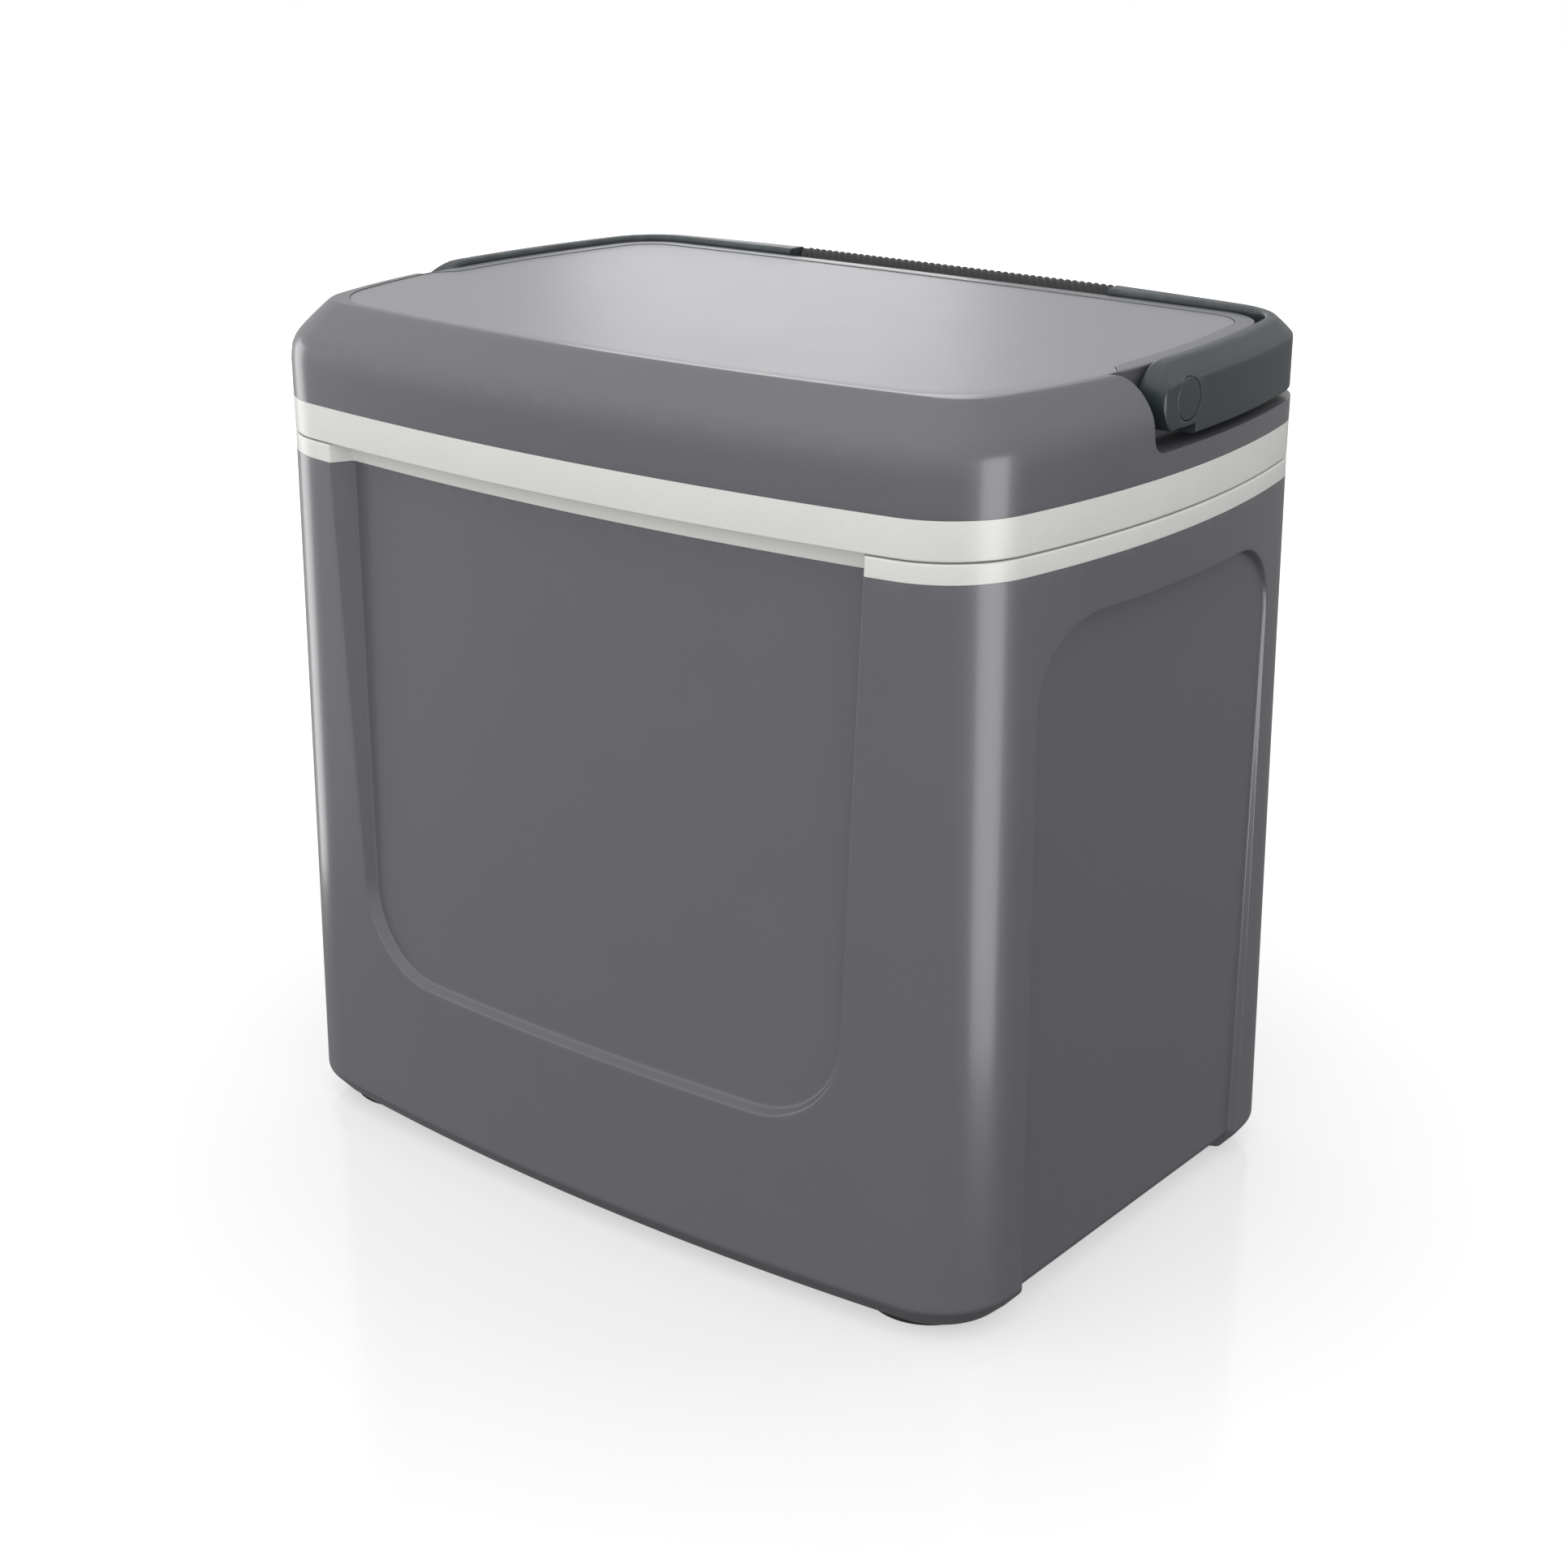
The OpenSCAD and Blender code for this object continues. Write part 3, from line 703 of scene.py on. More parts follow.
FINISHES: tuple[Moulded | Brushed, ...] = (
    Moulded(Slot.SHELL, (0.104, 0.106, 0.120), 0.34, pebbled=True, grain_depth=0.07, coat=0.4,
            coat_roughness=0.16, wear=0.08),
    Moulded(Slot.PANEL, (0.248, 0.251, 0.266), 0.32, grain_mm=0.8, grain_depth=0.35, grain_detail=6.0, mottle=0.02,
            wear=0.1),
    Moulded(Slot.CREAM, (0.74, 0.74, 0.715), 0.34, grain_depth=0.05, mottle=0.015, wear=0.25,
            worn_colour=(0.75, 0.75, 0.73)),
    Moulded(Slot.FOAM, (0.80, 0.72, 0.52), 0.85, grain_mm=1.2, grain_depth=0.7, grain_detail=6.0, wear=0.0),
    Moulded(Slot.SLATE, (0.031, 0.040, 0.046), 0.33, grain_depth=0.07, mottle=0.04, wear=0.3,
            worn_colour=(0.12, 0.14, 0.15)),
    Moulded(Slot.RUBBER, (0.012, 0.012, 0.0135), 0.52, grain_mm=0.25, grain_depth=0.3, mottle=0.1, wear=0.2,
            worn_colour=(0.05, 0.05, 0.052), specular=0.4),
    Moulded(Slot.SEAL, (0.07, 0.07, 0.074), 0.6, grain_mm=0.3, grain_depth=0.25, wear=0.0, specular=0.35),
    Moulded(Slot.ACETAL, (0.70, 0.70, 0.66), 0.35, grain_depth=0.08, wear=0.0),
    Brushed(Slot.STEEL),
)


class Workshop:
    """Gives pieces their finish, their body and the nodes they stand for."""

    def __init__(self) -> None:
        """Builds each finish once."""
        self._materials = {finish.slot: finish.material() for finish in FINISHES}

    def paint(self, piece: bpy.types.Object, slot: Slot) -> None:
        """Gives every face of a piece one finish."""
        piece.data.materials.clear()
        piece.data.materials.append(self._materials[slot])

    def material(self, slot: Slot) -> bpy.types.Material:
        """The material of a slot."""
        return self._materials[slot]

    def deliver(self, piece: bpy.types.Object, body: Body, slot: Slot, *nodes: str) -> None:
        """Finishes a piece and hangs it on its body.

        Args:
            piece: The mesh object, in place.
            body: The body that it rides on.
            slot: The finish.
            nodes: The CAD nodes that it stands for.
        """
        self.paint(piece, slot)
        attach(piece, body.value)
        if nodes:
            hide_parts(*nodes)
        log.info("%s: %d faces on %s", piece.name, len(piece.data.polygons), body.value)

    def dress(self, node: str, slot: Slot) -> None:
        """Gives a CAD node a finish.

        Args:
            node: The node's name.
            slot: The finish.
        """
        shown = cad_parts[node]
        shown.data.materials.clear()
        shown.data.materials.append(self._materials[slot])
        log.info("%s: CAD node, %s", node, slot.value)


# ---- Body ----


@dataclass(frozen=True)
class BodyForm:
    """The outer form of the cooler's body, with its recesses and base bevel, in millimetres."""

    base: Outline = Outline.bowed(223.8, 156.3, 16.4, 12.7, 41.0)
    rim: Outline = RIM
    foot_z: float = 3.0
    bevel_z: float = 14.5
    rim_z: float = 362.0
    bevel_w: float = 10.0
    bevel_soft: float = 1.6
    edge_soft: float = 1.2
    front_foot_z: float = 91.0
    front_r: float = 47.0
    front_half: Pair = (151.5, 162.0)
    front_span: Pair = (138.0, 382.0)
    front_depth: Pair = (4.5, 12.0)
    front_wall: float = 0.5
    side_x: float = 214.6
    side_half: float = 98.0
    side_crown: float = 329.0
    side_r: float = 38.0
    side_wall: float = 1.6
    margin: float = 3.0

    def bevel(self, z: Number) -> Number:
        """How far the base bevel pulls the form in at a height.

        Args:
            z: Height.

        Returns:
            The pull, which is 0 above the bevel.
        """
        slope = self.bevel_w / (self.bevel_z - self.foot_z)
        soft = self.bevel_soft
        curve = slope * (self.bevel_z + soft - z) ** 2 / (4 * soft)
        pull = np.where(z > self.bevel_z + soft, 0.0,
                        np.where(z < self.bevel_z - soft, slope * (self.bevel_z - z), curve))
        rise = np.clip(self.foot_z + self.edge_soft - z, 0, self.edge_soft)
        return pull + self.edge_soft - np.sqrt(self.edge_soft**2 - rise**2)

    def outline(self, z: Number, t: float) -> Outline:
        """Outline of the form at a height, moved inwards by t."""
        share = np.clip((z - self.bevel_z) / (self.rim_z - self.bevel_z), 0, 1)
        return self.base.mix(self.rim, share).inset(t + self.bevel(z - t))

    def recess_depth(self, z: Number) -> Number:
        """Depth of the front recess at a height.

        Args:
            z: Height.

        Returns:
            How far its floor lies in.
        """
        low, high = self.front_foot_z - 4, self.front_span[1]
        shallow, deep = self.front_depth
        return shallow + (deep - shallow) * (z - low) / (high - low)

    def recess_y(self, x: Number, z: Number, t: float) -> Number:
        """Distance of the front recess's floor from the middle plane.

        Args:
            x: X of the points.
            z: Height of the points.
            t: How far the form is moved inwards.

        Returns:
            The distance at each point.
        """
        low, high = self.front_foot_z - 4, self.front_span[1]
        shallow, deep = self.front_depth
        floor = self.base.inset(shallow).mix(self.rim.inset(deep), (z - low) / (high - low)).inset(t)
        return floor.depth_at(x)

    def recess_half(self, z: Number) -> Number:
        """Half width of the front recess at a height."""
        (low, high), (z0, z1) = self.front_half, self.front_span
        return low + (high - low) * (z - z0) / (z1 - z0)

    def rows(self, t: float) -> dict[str, np.ndarray]:
        """Heights of the mesh rows, zone by zone from the rim to the base, moved inwards by t.

        Args:
            t: How far the form is moved inwards.

        Returns:
            The heights of each zone, falling.
        """
        quarter = np.linspace(0, math.pi / 2, 11)
        reach = self.margin + t
        arch_z, turn_z = self.side_crown - self.side_r, self.front_span[0]
        arch_top = self.side_crown + reach
        foot = turn_z - self.front_r - reach
        bevel = np.array([16.1, 15.4, 14.7, 14.0, 13.3, 12.7, 10.5, 8.0, 5.8, 4.2, 3.7, 3.3, 3.1, 3.0]) + t
        return {
            "rim": np.linspace(352.4, arch_top, 4),
            "arch": arch_z + (self.side_r + reach) * np.cos(quarter),
            "mid": np.linspace(arch_z, turn_z, 16),
            "turn": turn_z - (self.front_r + reach) * np.sin(quarter),
            "low": np.linspace(foot, 18.0 + t, 9),
            "bevel": bevel,
        }

    def front_strip(self, x: np.ndarray, z: np.ndarray, nx: Number, nz: Number, t: float) -> np.ndarray:
        """Chamfered wall of the front recess along its outline.

        Args:
            x: X of the outline's points.
            z: Heights of the outline's points.
            nx: X of the outward direction in the front's plane.
            nz: Height part of that direction.
            t: How far the form is moved inwards.

        Returns:
            Array of point along the outline, point across the wall, and coordinate.
        """
        wall = self.front_wall * self.recess_depth(z)
        deep = self.outline(z, t).depth_at(x) - self.recess_y(x, z, t)
        zero = 0 * x
        across = rounded([points(zero - self.margin, zero, zero), points(zero, zero, zero),
                          points(wall, deep, zero), points(wall + self.margin, deep, zero)],
                         [0, 0.8, 1.1, 0], 6)
        d, share = across[..., 0], across[..., 1] / deep[:, None]
        px, pz = x[:, None] - np.reshape(nx + zero, (-1, 1)) * d, z[:, None] - np.reshape(nz + zero, (-1, 1)) * d
        out, floor = self.outline(pz, t).depth_at(px), self.recess_y(px, pz, t)
        return points(px, -(out + (floor - out) * share), pz)

    def side_strip(self, y: np.ndarray, z: np.ndarray, ny: Number, nz: Number, t: float) -> np.ndarray:
        """Wall of the flat side recess along its outline, as front_strip gives the front's.

        Args:
            y: Distance of the outline's points from the middle plane.
            z: Heights of the outline's points.
            ny: Sideways part of the outward direction in the side's plane.
            nz: Height part of that direction.
            t: How far the form is moved inwards.

        Returns:
            Array of point along the outline, point across the wall, and coordinate.
        """
        plane = self.side_x - t
        deep = np.maximum(self.outline(z, t).width_at(y) - plane + self.bevel(z - t), 0.3)
        zero = 0 * y
        across = rounded([points(zero - self.margin, zero, zero), points(zero, zero, zero),
                          points(zero + self.side_wall, deep, zero),
                          points(zero + self.side_wall + self.margin, deep, zero)], [0, 0.6, 0.9, 0], 5)
        d, share = across[..., 0], across[..., 1] / deep[:, None]
        py, pz = y[:, None] - np.reshape(ny + zero, (-1, 1)) * d, z[:, None] - np.reshape(nz + zero, (-1, 1)) * d
        out = self.outline(pz, t).width_at(py)
        floor = plane - self.bevel(pz - t)
        return points(out + (floor - out) * share, -py, pz)

    def around(self, z: np.ndarray, x_from: Number, y_to: Number, t: float) -> tuple[np.ndarray, np.ndarray]:
        """Rows round the corner from the front to the side.

        Args:
            z: Heights of the rows.
            x_from: X where each row starts on the front.
            y_to: Distance from the middle plane where each row ends on the side.
            t: How far the form is moved inwards.

        Returns:
            The points, and for each column how far round the quarter it is.
        """
        o = self.outline(z[:, None], t)
        x_touch, y_touch = o.front_touch(), o.side_touch()
        f1, f2, f3 = np.linspace(0, 1, 11)[None, :-1], np.linspace(0, 1, 17)[None, :-1], np.linspace(0, 1, 7)[None]
        x1 = np.reshape(x_from + 0 * z, (-1, 1)) * (1 - f1) + x_touch * f1
        x2, y2 = o.corner_point(f2)
        y3 = y_touch * (1 - f3) + np.reshape(y_to + 0 * z, (-1, 1)) * f3
        x = np.concatenate([x1, x2, o.width_at(y3)], axis=1)
        y = np.concatenate([o.depth_at(x1), y2, y3], axis=1)
        u = np.concatenate([x1 / x_touch, 1 + f2 + 0 * x_touch, 3 - y3 / y_touch], axis=1)
        return points(x, -y, z[:, None]), u

    def ring(self, z: float, t: float) -> tuple[np.ndarray, np.ndarray]:
        """Quarter ring of points at a height above the side recess, from the middle of the front to the side.

        Args:
            z: Height.
            t: How far the form is moved inwards.

        Returns:
            The points, and how far round the quarter each is.
        """
        at = np.array([z])
        half = self.recess_half(at) + t
        strip = self.front_strip(half, at, 1.0, 0.0, t)[0][::-1]
        x_in = strip[0, 0] * np.linspace(0, 1, 13)[:-1]
        inner = points(x_in, -self.recess_y(x_in, z, t), z)
        y_end = self.side_half - self.side_r
        corner, u = self.around(at, half + self.margin, y_end, t)
        y_last = y_end * (1 - np.linspace(0, 1, 9)[1:])
        o = self.outline(z, t)
        last = points(o.width_at(y_last), -y_last, z)
        front = np.concatenate([inner, strip[:-1]])
        return (np.concatenate([front, corner[0], last]),
                np.concatenate([front[:, 0] / o.front_touch(), u[0], 3 - y_last / o.side_touch()]))

    def skin(self, work: Patchwork, t: float) -> tuple[np.ndarray, np.ndarray]:
        """Adds the form below the rim band to a mesh.

        Args:
            work: The mesh that it is added to.
            t: How far the form is moved inwards.

        Returns:
            The quarter rings at its top and at its base.
        """
        rows = self.rows(t)
        reach = self.margin + t
        turn = np.linspace(0, math.pi / 2, 11)
        x_end, y_end = self.front_half[0] - self.front_r, self.side_half - self.side_r
        arch_z, turn_z = self.side_crown - self.side_r, self.front_span[0]
        high = np.concatenate([rows["rim"], rows["arch"][1:], rows["mid"][1:]])
        every = np.concatenate([high, rows["turn"][1:], rows["low"][1:], rows["bevel"]])
        # Front: wall strip down one side, round the turn and along the foot, then the floor inside it
        r_front, r_side = self.front_r + t, self.side_r + t
        foot_x = x_end * np.linspace(1, 0, 13)[1:]
        qx = np.concatenate([self.recess_half(high) + t, x_end + r_front * np.cos(turn[1:]), foot_x])
        qz = np.concatenate([high, turn_z - r_front * np.sin(turn[1:]), 0 * foot_x + turn_z - r_front])
        nx = np.concatenate([0 * high + 1, np.cos(turn[1:]), 0 * foot_x])
        nz = np.concatenate([0 * high, -np.sin(turn[1:]), 0 * foot_x - 1])
        strip = self.front_strip(qx, qz, nx, nz, t)
        work.add(strip, "xy")
        inner = strip[:len(high) + len(turn) - 1, -1]
        fx = inner[:, :1] * np.linspace(0, 1, 13)[None]
        fz = inner[:, 2:] + 0 * fx
        work.add(points(fx, -self.recess_y(fx, fz, t), fz), "xy")
        below = np.concatenate([rows["low"], rows["bevel"]])[:, None]
        bx = x_end * np.linspace(0, 1, 13)[None] + 0 * below
        under = points(bx, -self.outline(below, t).depth_at(bx), below)
        work.add(under, "xy")
        # Corner, from the front strip to the side strip
        x_from = np.concatenate([self.recess_half(high) + reach, x_end + (self.front_r + reach) * np.cos(turn[1:]),
                                 0 * below[1:, 0] + x_end])
        y_to = np.concatenate([0 * rows["rim"] + y_end, y_end + (self.side_r + reach) * np.sin(turn[1:]),
                               0 * every[len(rows["rim"]) + 10:] + self.side_half + reach])
        corner, _ = self.around(every, x_from, y_to, t)
        work.add(corner, "xy")
        # Side: wall strip from the base up to the crown, the flat inside it and the wall above it
        straight = every[len(rows["rim"]) + 9:]
        crown_y = y_end * np.linspace(0, 1, 9)[:-1]
        qy = np.concatenate([crown_y, y_end + r_side * np.sin(turn[:-1]), 0 * straight + self.side_half + t])
        qz = np.concatenate([0 * crown_y + arch_z + r_side, arch_z + r_side * np.cos(turn[:-1]), straight])
        ny = np.concatenate([0 * crown_y, np.sin(turn[:-1]), 0 * straight + 1])
        nz = np.concatenate([0 * crown_y + 1, np.cos(turn[:-1]), 0 * straight])
        strip = self.side_strip(qy, qz, ny, nz, t)
        work.add(strip, "xy")
        inner = strip[len(crown_y):, -1]
        sy = inner[:, 1:2] * np.linspace(0, 1, 9)[None]
        sz = inner[:, 2:] + 0 * sy
        flat = points(self.side_x - t - self.bevel(sz - t), sy, sz)
        work.add(flat, "xy")
        above = rows["rim"][:, None]
        ay = y_end * np.linspace(0, 1, 9)[None] + 0 * above
        work.add(points(self.outline(above, t).width_at(ay), -ay, above), "xy")
        top, _ = self.ring(float(rows["rim"][0]), t)
        base = np.concatenate([under[-1], corner[-1][1:], strip[-1][1:], flat[-1][::-1][1:]])
        return top, base


def ring_at(o: Outline, u: np.ndarray, z: float) -> np.ndarray:
    """Points on an outline's front quarter at a height."""
    x, y = o.at(u)
    return points(x, -y, z)


@dataclass
class CoolerBody:
    """The body: shell, liner with its rim band, hinge pads and feet."""

    shop: Workshop
    form: BodyForm = BodyForm()
    wall: float = 3.0
    floor_z: float = 43.0
    liner_t: float = 2.5
    slot_low: float = 349.5
    slot_wall: float = 3.0
    keeper_x: Pair = (193.4, 204.6)
    keeper_y: Pair = (6.5, 34.1)
    keeper_deep: float = 1.8
    groove_r: tuple[float, ...] = (10.0, 15.0, 20.0, 24.5)
    groove_w: float = 1.6
    groove_deep: float = 0.8
    screw_hole: Pair = (4.4, 2.0)

    def shell(self) -> None:
        """Outer shell: the form and its inner side, joined at the top, with a base."""
        work = Patchwork()
        top, base = self.form.skin(work, 0.0)
        top_in, base_in = self.form.skin(work, self.wall)
        work.add(np.stack([top, top_in]), "xy")
        for ring in (base, base_in):
            centre = np.array([0.0, 0.0, ring[0, 2]])
            work.add(np.stack([ring, centre + (ring - centre) * 0.6, centre + 0 * ring]), "xy")
        piece = work.build("outer_shell_moulding")
        self.shop.deliver(piece, Body.COOLER, Slot.SHELL, "outer_shell")

    def pads(self) -> None:
        """Rounded pads in the rear recess that carry the hinge leaves."""
        leaf_low, leaf_high = box_mm("hinge_body_leaf_right")
        half_x, middle = (leaf_high.x - leaf_low.x) / 2 + 3, (leaf_high.x + leaf_low.x) / 2
        low, high = leaf_low.z - 2, box_mm("outer_shell")[1].z
        half_z, centre_z = (high - low) / 2, (high + low) / 2
        turn = np.linspace(0, 2 * math.pi, 65)
        work = Patchwork()
        loops = []
        for y, grow in ((leaf_low.y - 9, 2.5), (leaf_low.y - 1.0, 0.4), (leaf_low.y - 0.3, 0.0), (leaf_low.y, -0.6)):
            a, b, r = half_x + grow - 4, half_z - 4 - (0.2 if grow < 0 else 0), 4.0 + min(grow, 0) * 0.5
            x = np.sign(np.cos(turn)) * a + r * np.cos(turn)
            z = np.clip(np.sign(np.sin(turn)) * b + r * np.sin(turn), -half_z, half_z)
            loops.append(points(middle + x, y, centre_z + z))
        back = np.array([middle, loops[0][0, 1], centre_z])
        face = np.array([middle, loops[-1][0, 1], centre_z])
        work.add(np.stack([back + 0 * loops[0], *loops, face + 0 * loops[0]]), "x")
        self.shop.deliver(work.build("hinge_pads"), Body.COOLER, Slot.SHELL)

    def liner(self) -> None:
        """Cream liner: rim band, flange, storage tub and the slots for the lock levers."""
        form, low_z = self.form, box_mm("outer_shell")[1].z
        top_z = box_mm("inner_liner")[1].z
        out_low, _ = form.ring(low_z, 0.0)
        out_high, u = form.ring(top_z, 0.0)
        in_low, _ = form.ring(low_z, self.wall)
        in_high, _ = form.ring(top_z - self.wall, self.wall)
        centre = 0 * out_low
        tub, tub_low = STORE.inset(-self.liner_t), STORE_LOW.inset(-self.liner_t)
        under = self.floor_z - self.liner_t
        corners = [in_high, in_low, out_low, out_high, ring_at(STORE, u, top_z), ring_at(STORE_LOW, u, self.floor_z),
                   centre + (0, 0, self.floor_z), centre + (0, 0, under), ring_at(tub_low, u, under),
                   ring_at(tub, u, top_z - self.wall), in_high]
        reach = [0, 0, 0.35, 1.0, 3.0, 14.0, 0, 0, 14.0, 0, 0]
        work = Patchwork()
        work.add(rounded(corners, reach, 7).transpose(1, 0, 2), "xy")
        piece = work.build("inner_liner_moulding")
        t, above = self.slot_wall, top_z + 1
        for side in SIDES:
            carve(piece, "UNION", on_side(side, (SLOT_X[0] - t, SLOT_X[1] + t)),
                  (SLOT_Y[0] - t, self.keeper_y[1] + 2), (self.slot_low - self.liner_t, top_z - 0.5))
            carve(piece, "DIFFERENCE", on_side(side, SLOT_X), SLOT_Y, (self.slot_low, above))
            carve(piece, "DIFFERENCE", on_side(side, self.keeper_x), self.keeper_y, (top_z - self.keeper_deep, above))
        self.shop.deliver(piece, Body.COOLER, Slot.CREAM, "inner_liner")

    def feet(self) -> None:
        """Four round rubber feet with grooves underneath."""
        for node in sorted(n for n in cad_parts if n.startswith("foot_") and n != "foot_screws"):
            low, high = box_mm(node)
            r, h = (high.x - low.x) / 2, high.z - low.z
            hole_r, hole_deep = self.screw_hole
            profile: list[Pair] = [(0, hole_deep), (hole_r, hole_deep), (hole_r, 0)]
            for start in self.groove_r:
                end, deep = start + self.groove_w, self.groove_deep
                profile += [(start, 0), (start, deep), (end, deep), (end, 0)]
            profile += [(r, 0), (r, h), (0, h)]
            reach = [0, 0, 0.3] + [0.2] * 4 * len(self.groove_r) + [1.6, 0.4, 0]
            centre = ((low.x + high.x) / 2, (low.y + high.y) / 2, low.z)
            piece = lathe(node + "_pad", profile, reach, centre)
            self.shop.deliver(piece, Body.COOLER, Slot.RUBBER, node)

    def build(self) -> None:
        """Builds every piece of the body."""
        self.shell()
        self.pads()
        self.liner()
        self.feet()


# ---- Lid ----


class Zone(Enum):
    """Stretches of the way round half of the lid or the handle."""

    FRONT = 0
    SIDE_FRONT = 1
    SHOULDER = 2
    SIDE_REAR = 3
    REAR = 4


@dataclass(frozen=True)
class Stations:
    """Columns of a mesh round the right half of an outline, from the middle of the front to the rear.

    zone says which stretch a column is on. share is how far round the quarter it is on the front and rear, and
    how far along the stretch it is on the side.
    """

    zone: np.ndarray
    share: np.ndarray

    def on(self, o: Outline, y_shoulder: np.ndarray, z: Number) -> np.ndarray:
        """Points of the columns on an outline.

        Args:
            o: The outline, which may differ from column to column.
            y_shoulder: Y of each shoulder column, and of the ends that the side stretches run to.
            z: Height, which may differ from column to column.

        Returns:
            One point for each column.
        """
        y_touch = o.side_touch()
        x_round, y_round = o.at(self.share)
        inside = np.flatnonzero(self.zone == Zone.SHOULDER.value)
        first, last = y_shoulder[inside[0]], y_shoulder[inside[-1]]
        y = np.where(self.zone == Zone.SIDE_FRONT.value, -y_touch + (first + y_touch) * self.share,
                     np.where(self.zone == Zone.SHOULDER.value, y_shoulder, last + (y_touch - last) * self.share))
        round_part = (self.zone == Zone.FRONT.value) | (self.zone == Zone.REAR.value)
        sign = np.where(self.zone == Zone.REAR.value, 1, -1)
        return points(np.where(round_part, x_round, o.width_at(np.where(round_part, 0, y))),
                      np.where(round_part, sign * y_round, y), z)


@dataclass
class Lid:
    """The lid: shell with the cradle for the handle, textured panel and liner."""

    shop: Workshop
    rim: Outline = RIM
    top: Outline = Outline.bowed(211.4, 133.1, 17.3, 26.0, 26.0)
    cradle: Outline = Outline.bowed(207.1, 129.1, 5.9, 16.0, 29.0)
    panel_front: Outline = Outline.bowed(207.6, 129.6, 17.3, 26.0, 44.0)
    panel_rear: Outline = Outline.bowed(198.0, 120.5, 5.9, 14.0, 22.0)
    wall: float = 3.0
    ledge_z: float = 390.0
    cradle_y: float = -27.0
    shoulder_r: float = 11.0
    foot_r: float = 8.0
    panel_low: float = 423.0
    panel_gap: float = 0.3
    gasket_gap: float = 6.8
    gasket_w: float = 3.2
    plug_gap: Pair = (3.0, 5.0)
    plug_skin: float = 2.5
    leaf_half: float = 18.1
    slope: tuple[Pair, ...] = ((0, 1), (0.8, 0.93), (3.2, 0.79), (9, 0.48), (15, 0.19), (20, 0.05),
                                              (27, 0))
    stations: Stations = field(init=False)
    z_low: float = field(init=False)
    z_top: float = field(init=False)
    curve_y: np.ndarray = field(init=False)
    curve_z: np.ndarray = field(init=False)

    def __post_init__(self) -> None:
        """Works out the columns and the curve of the cradle's front wall."""
        low, high = box_mm("lid_shell")
        self.z_low, self.z_top = low.z, high.z
        turn = np.radians(np.linspace(82, 0, 9))
        shoulder = [(self.cradle_y - self.shoulder_r + self.shoulder_r * math.cos(a) if a else self.cradle_y,
                     self.z_top - self.shoulder_r + self.shoulder_r * math.sin(a)) for a in turn]
        shoulder.insert(0, (shoulder[0][0] - 2.0, self.z_top))
        wall_y = [(self.cradle_y, z) for z in np.linspace(self.z_top - self.shoulder_r, self.ledge_z + self.foot_r, 6)]
        foot = [(self.cradle_y + self.foot_r * (1 - math.cos(a)), self.ledge_z + self.foot_r * (1 - math.sin(a)))
                for a in np.radians(np.linspace(0, 90, 8))]
        curve = shoulder + wall_y[1:-1] + foot
        zones = ([(Zone.FRONT, u) for u in np.linspace(0, 1, 19)[:-1]]
                 + [(Zone.FRONT, u) for u in np.linspace(1, 2, 21)[:-1]]
                 + [(Zone.SIDE_FRONT, f) for f in np.linspace(0, 1, 13)[:-1]]
                 + [(Zone.SHOULDER, 0.0)] * len(curve)
                 + [(Zone.SIDE_REAR, f) for f in np.linspace(0, 1, 17)[1:]]
                 + [(Zone.REAR, u) for u in np.linspace(2, 1, 21)[1:]]
                 + [(Zone.REAR, u) for u in np.linspace(1, 0, 15)[1:]])
        self.stations = Stations(np.array([z.value for z, _ in zones]), np.array([s for _, s in zones], float))
        inside = self.stations.zone == Zone.SHOULDER.value
        self.curve_y = np.zeros(len(zones))
        self.curve_z = np.where(self.stations.zone < Zone.SHOULDER.value, self.z_top, self.ledge_z)
        self.curve_y[inside] = [y for y, _ in curve]
        self.curve_z[inside] = [z for _, z in curve]

    def spread_y(self) -> np.ndarray:
        """Even Y for the shoulder columns, away from the curve.

        Returns:
            Y of each column.
        """
        inside = self.stations.zone == Zone.SHOULDER.value
        y = self.curve_y.copy()
        y[inside] = np.linspace(y[inside][0], y[inside][-1], inside.sum())
        return y

    def outer(self, z: Number) -> Outline:
        """Outline of the lid's outside at a height."""
        return self.rim.mix(self.top, smooth_through(list(self.slope), self.z_top - z))

    def panel_edge(self, gap: float, z: float) -> np.ndarray:
        """Edge of the panel's pocket.

        Args:
            gap: How far it is moved inwards.
            z: Height.

        Returns:
            One point for each column.
        """
        front = self.stations.on(self.panel_front.inset(gap), self.spread_y(), z)
        rear = self.stations.on(self.panel_rear.inset(gap), self.spread_y(), z)
        jog = ease((self.stations.on(self.cradle, self.spread_y(), z)[:, 1] + 32) / 16)[:, None]
        edge = front + (rear - front) * jog
        limit = self.cradle.width_at(np.clip(edge[:, 1], -90, 90)) - 0.6 - gap
        held = (self.stations.zone == Zone.SHOULDER.value) | (
            (self.stations.zone == Zone.SIDE_FRONT.value) & (edge[:, 1] > -55))
        edge[held, 0] = np.minimum(edge[held, 0], limit[held])
        return edge

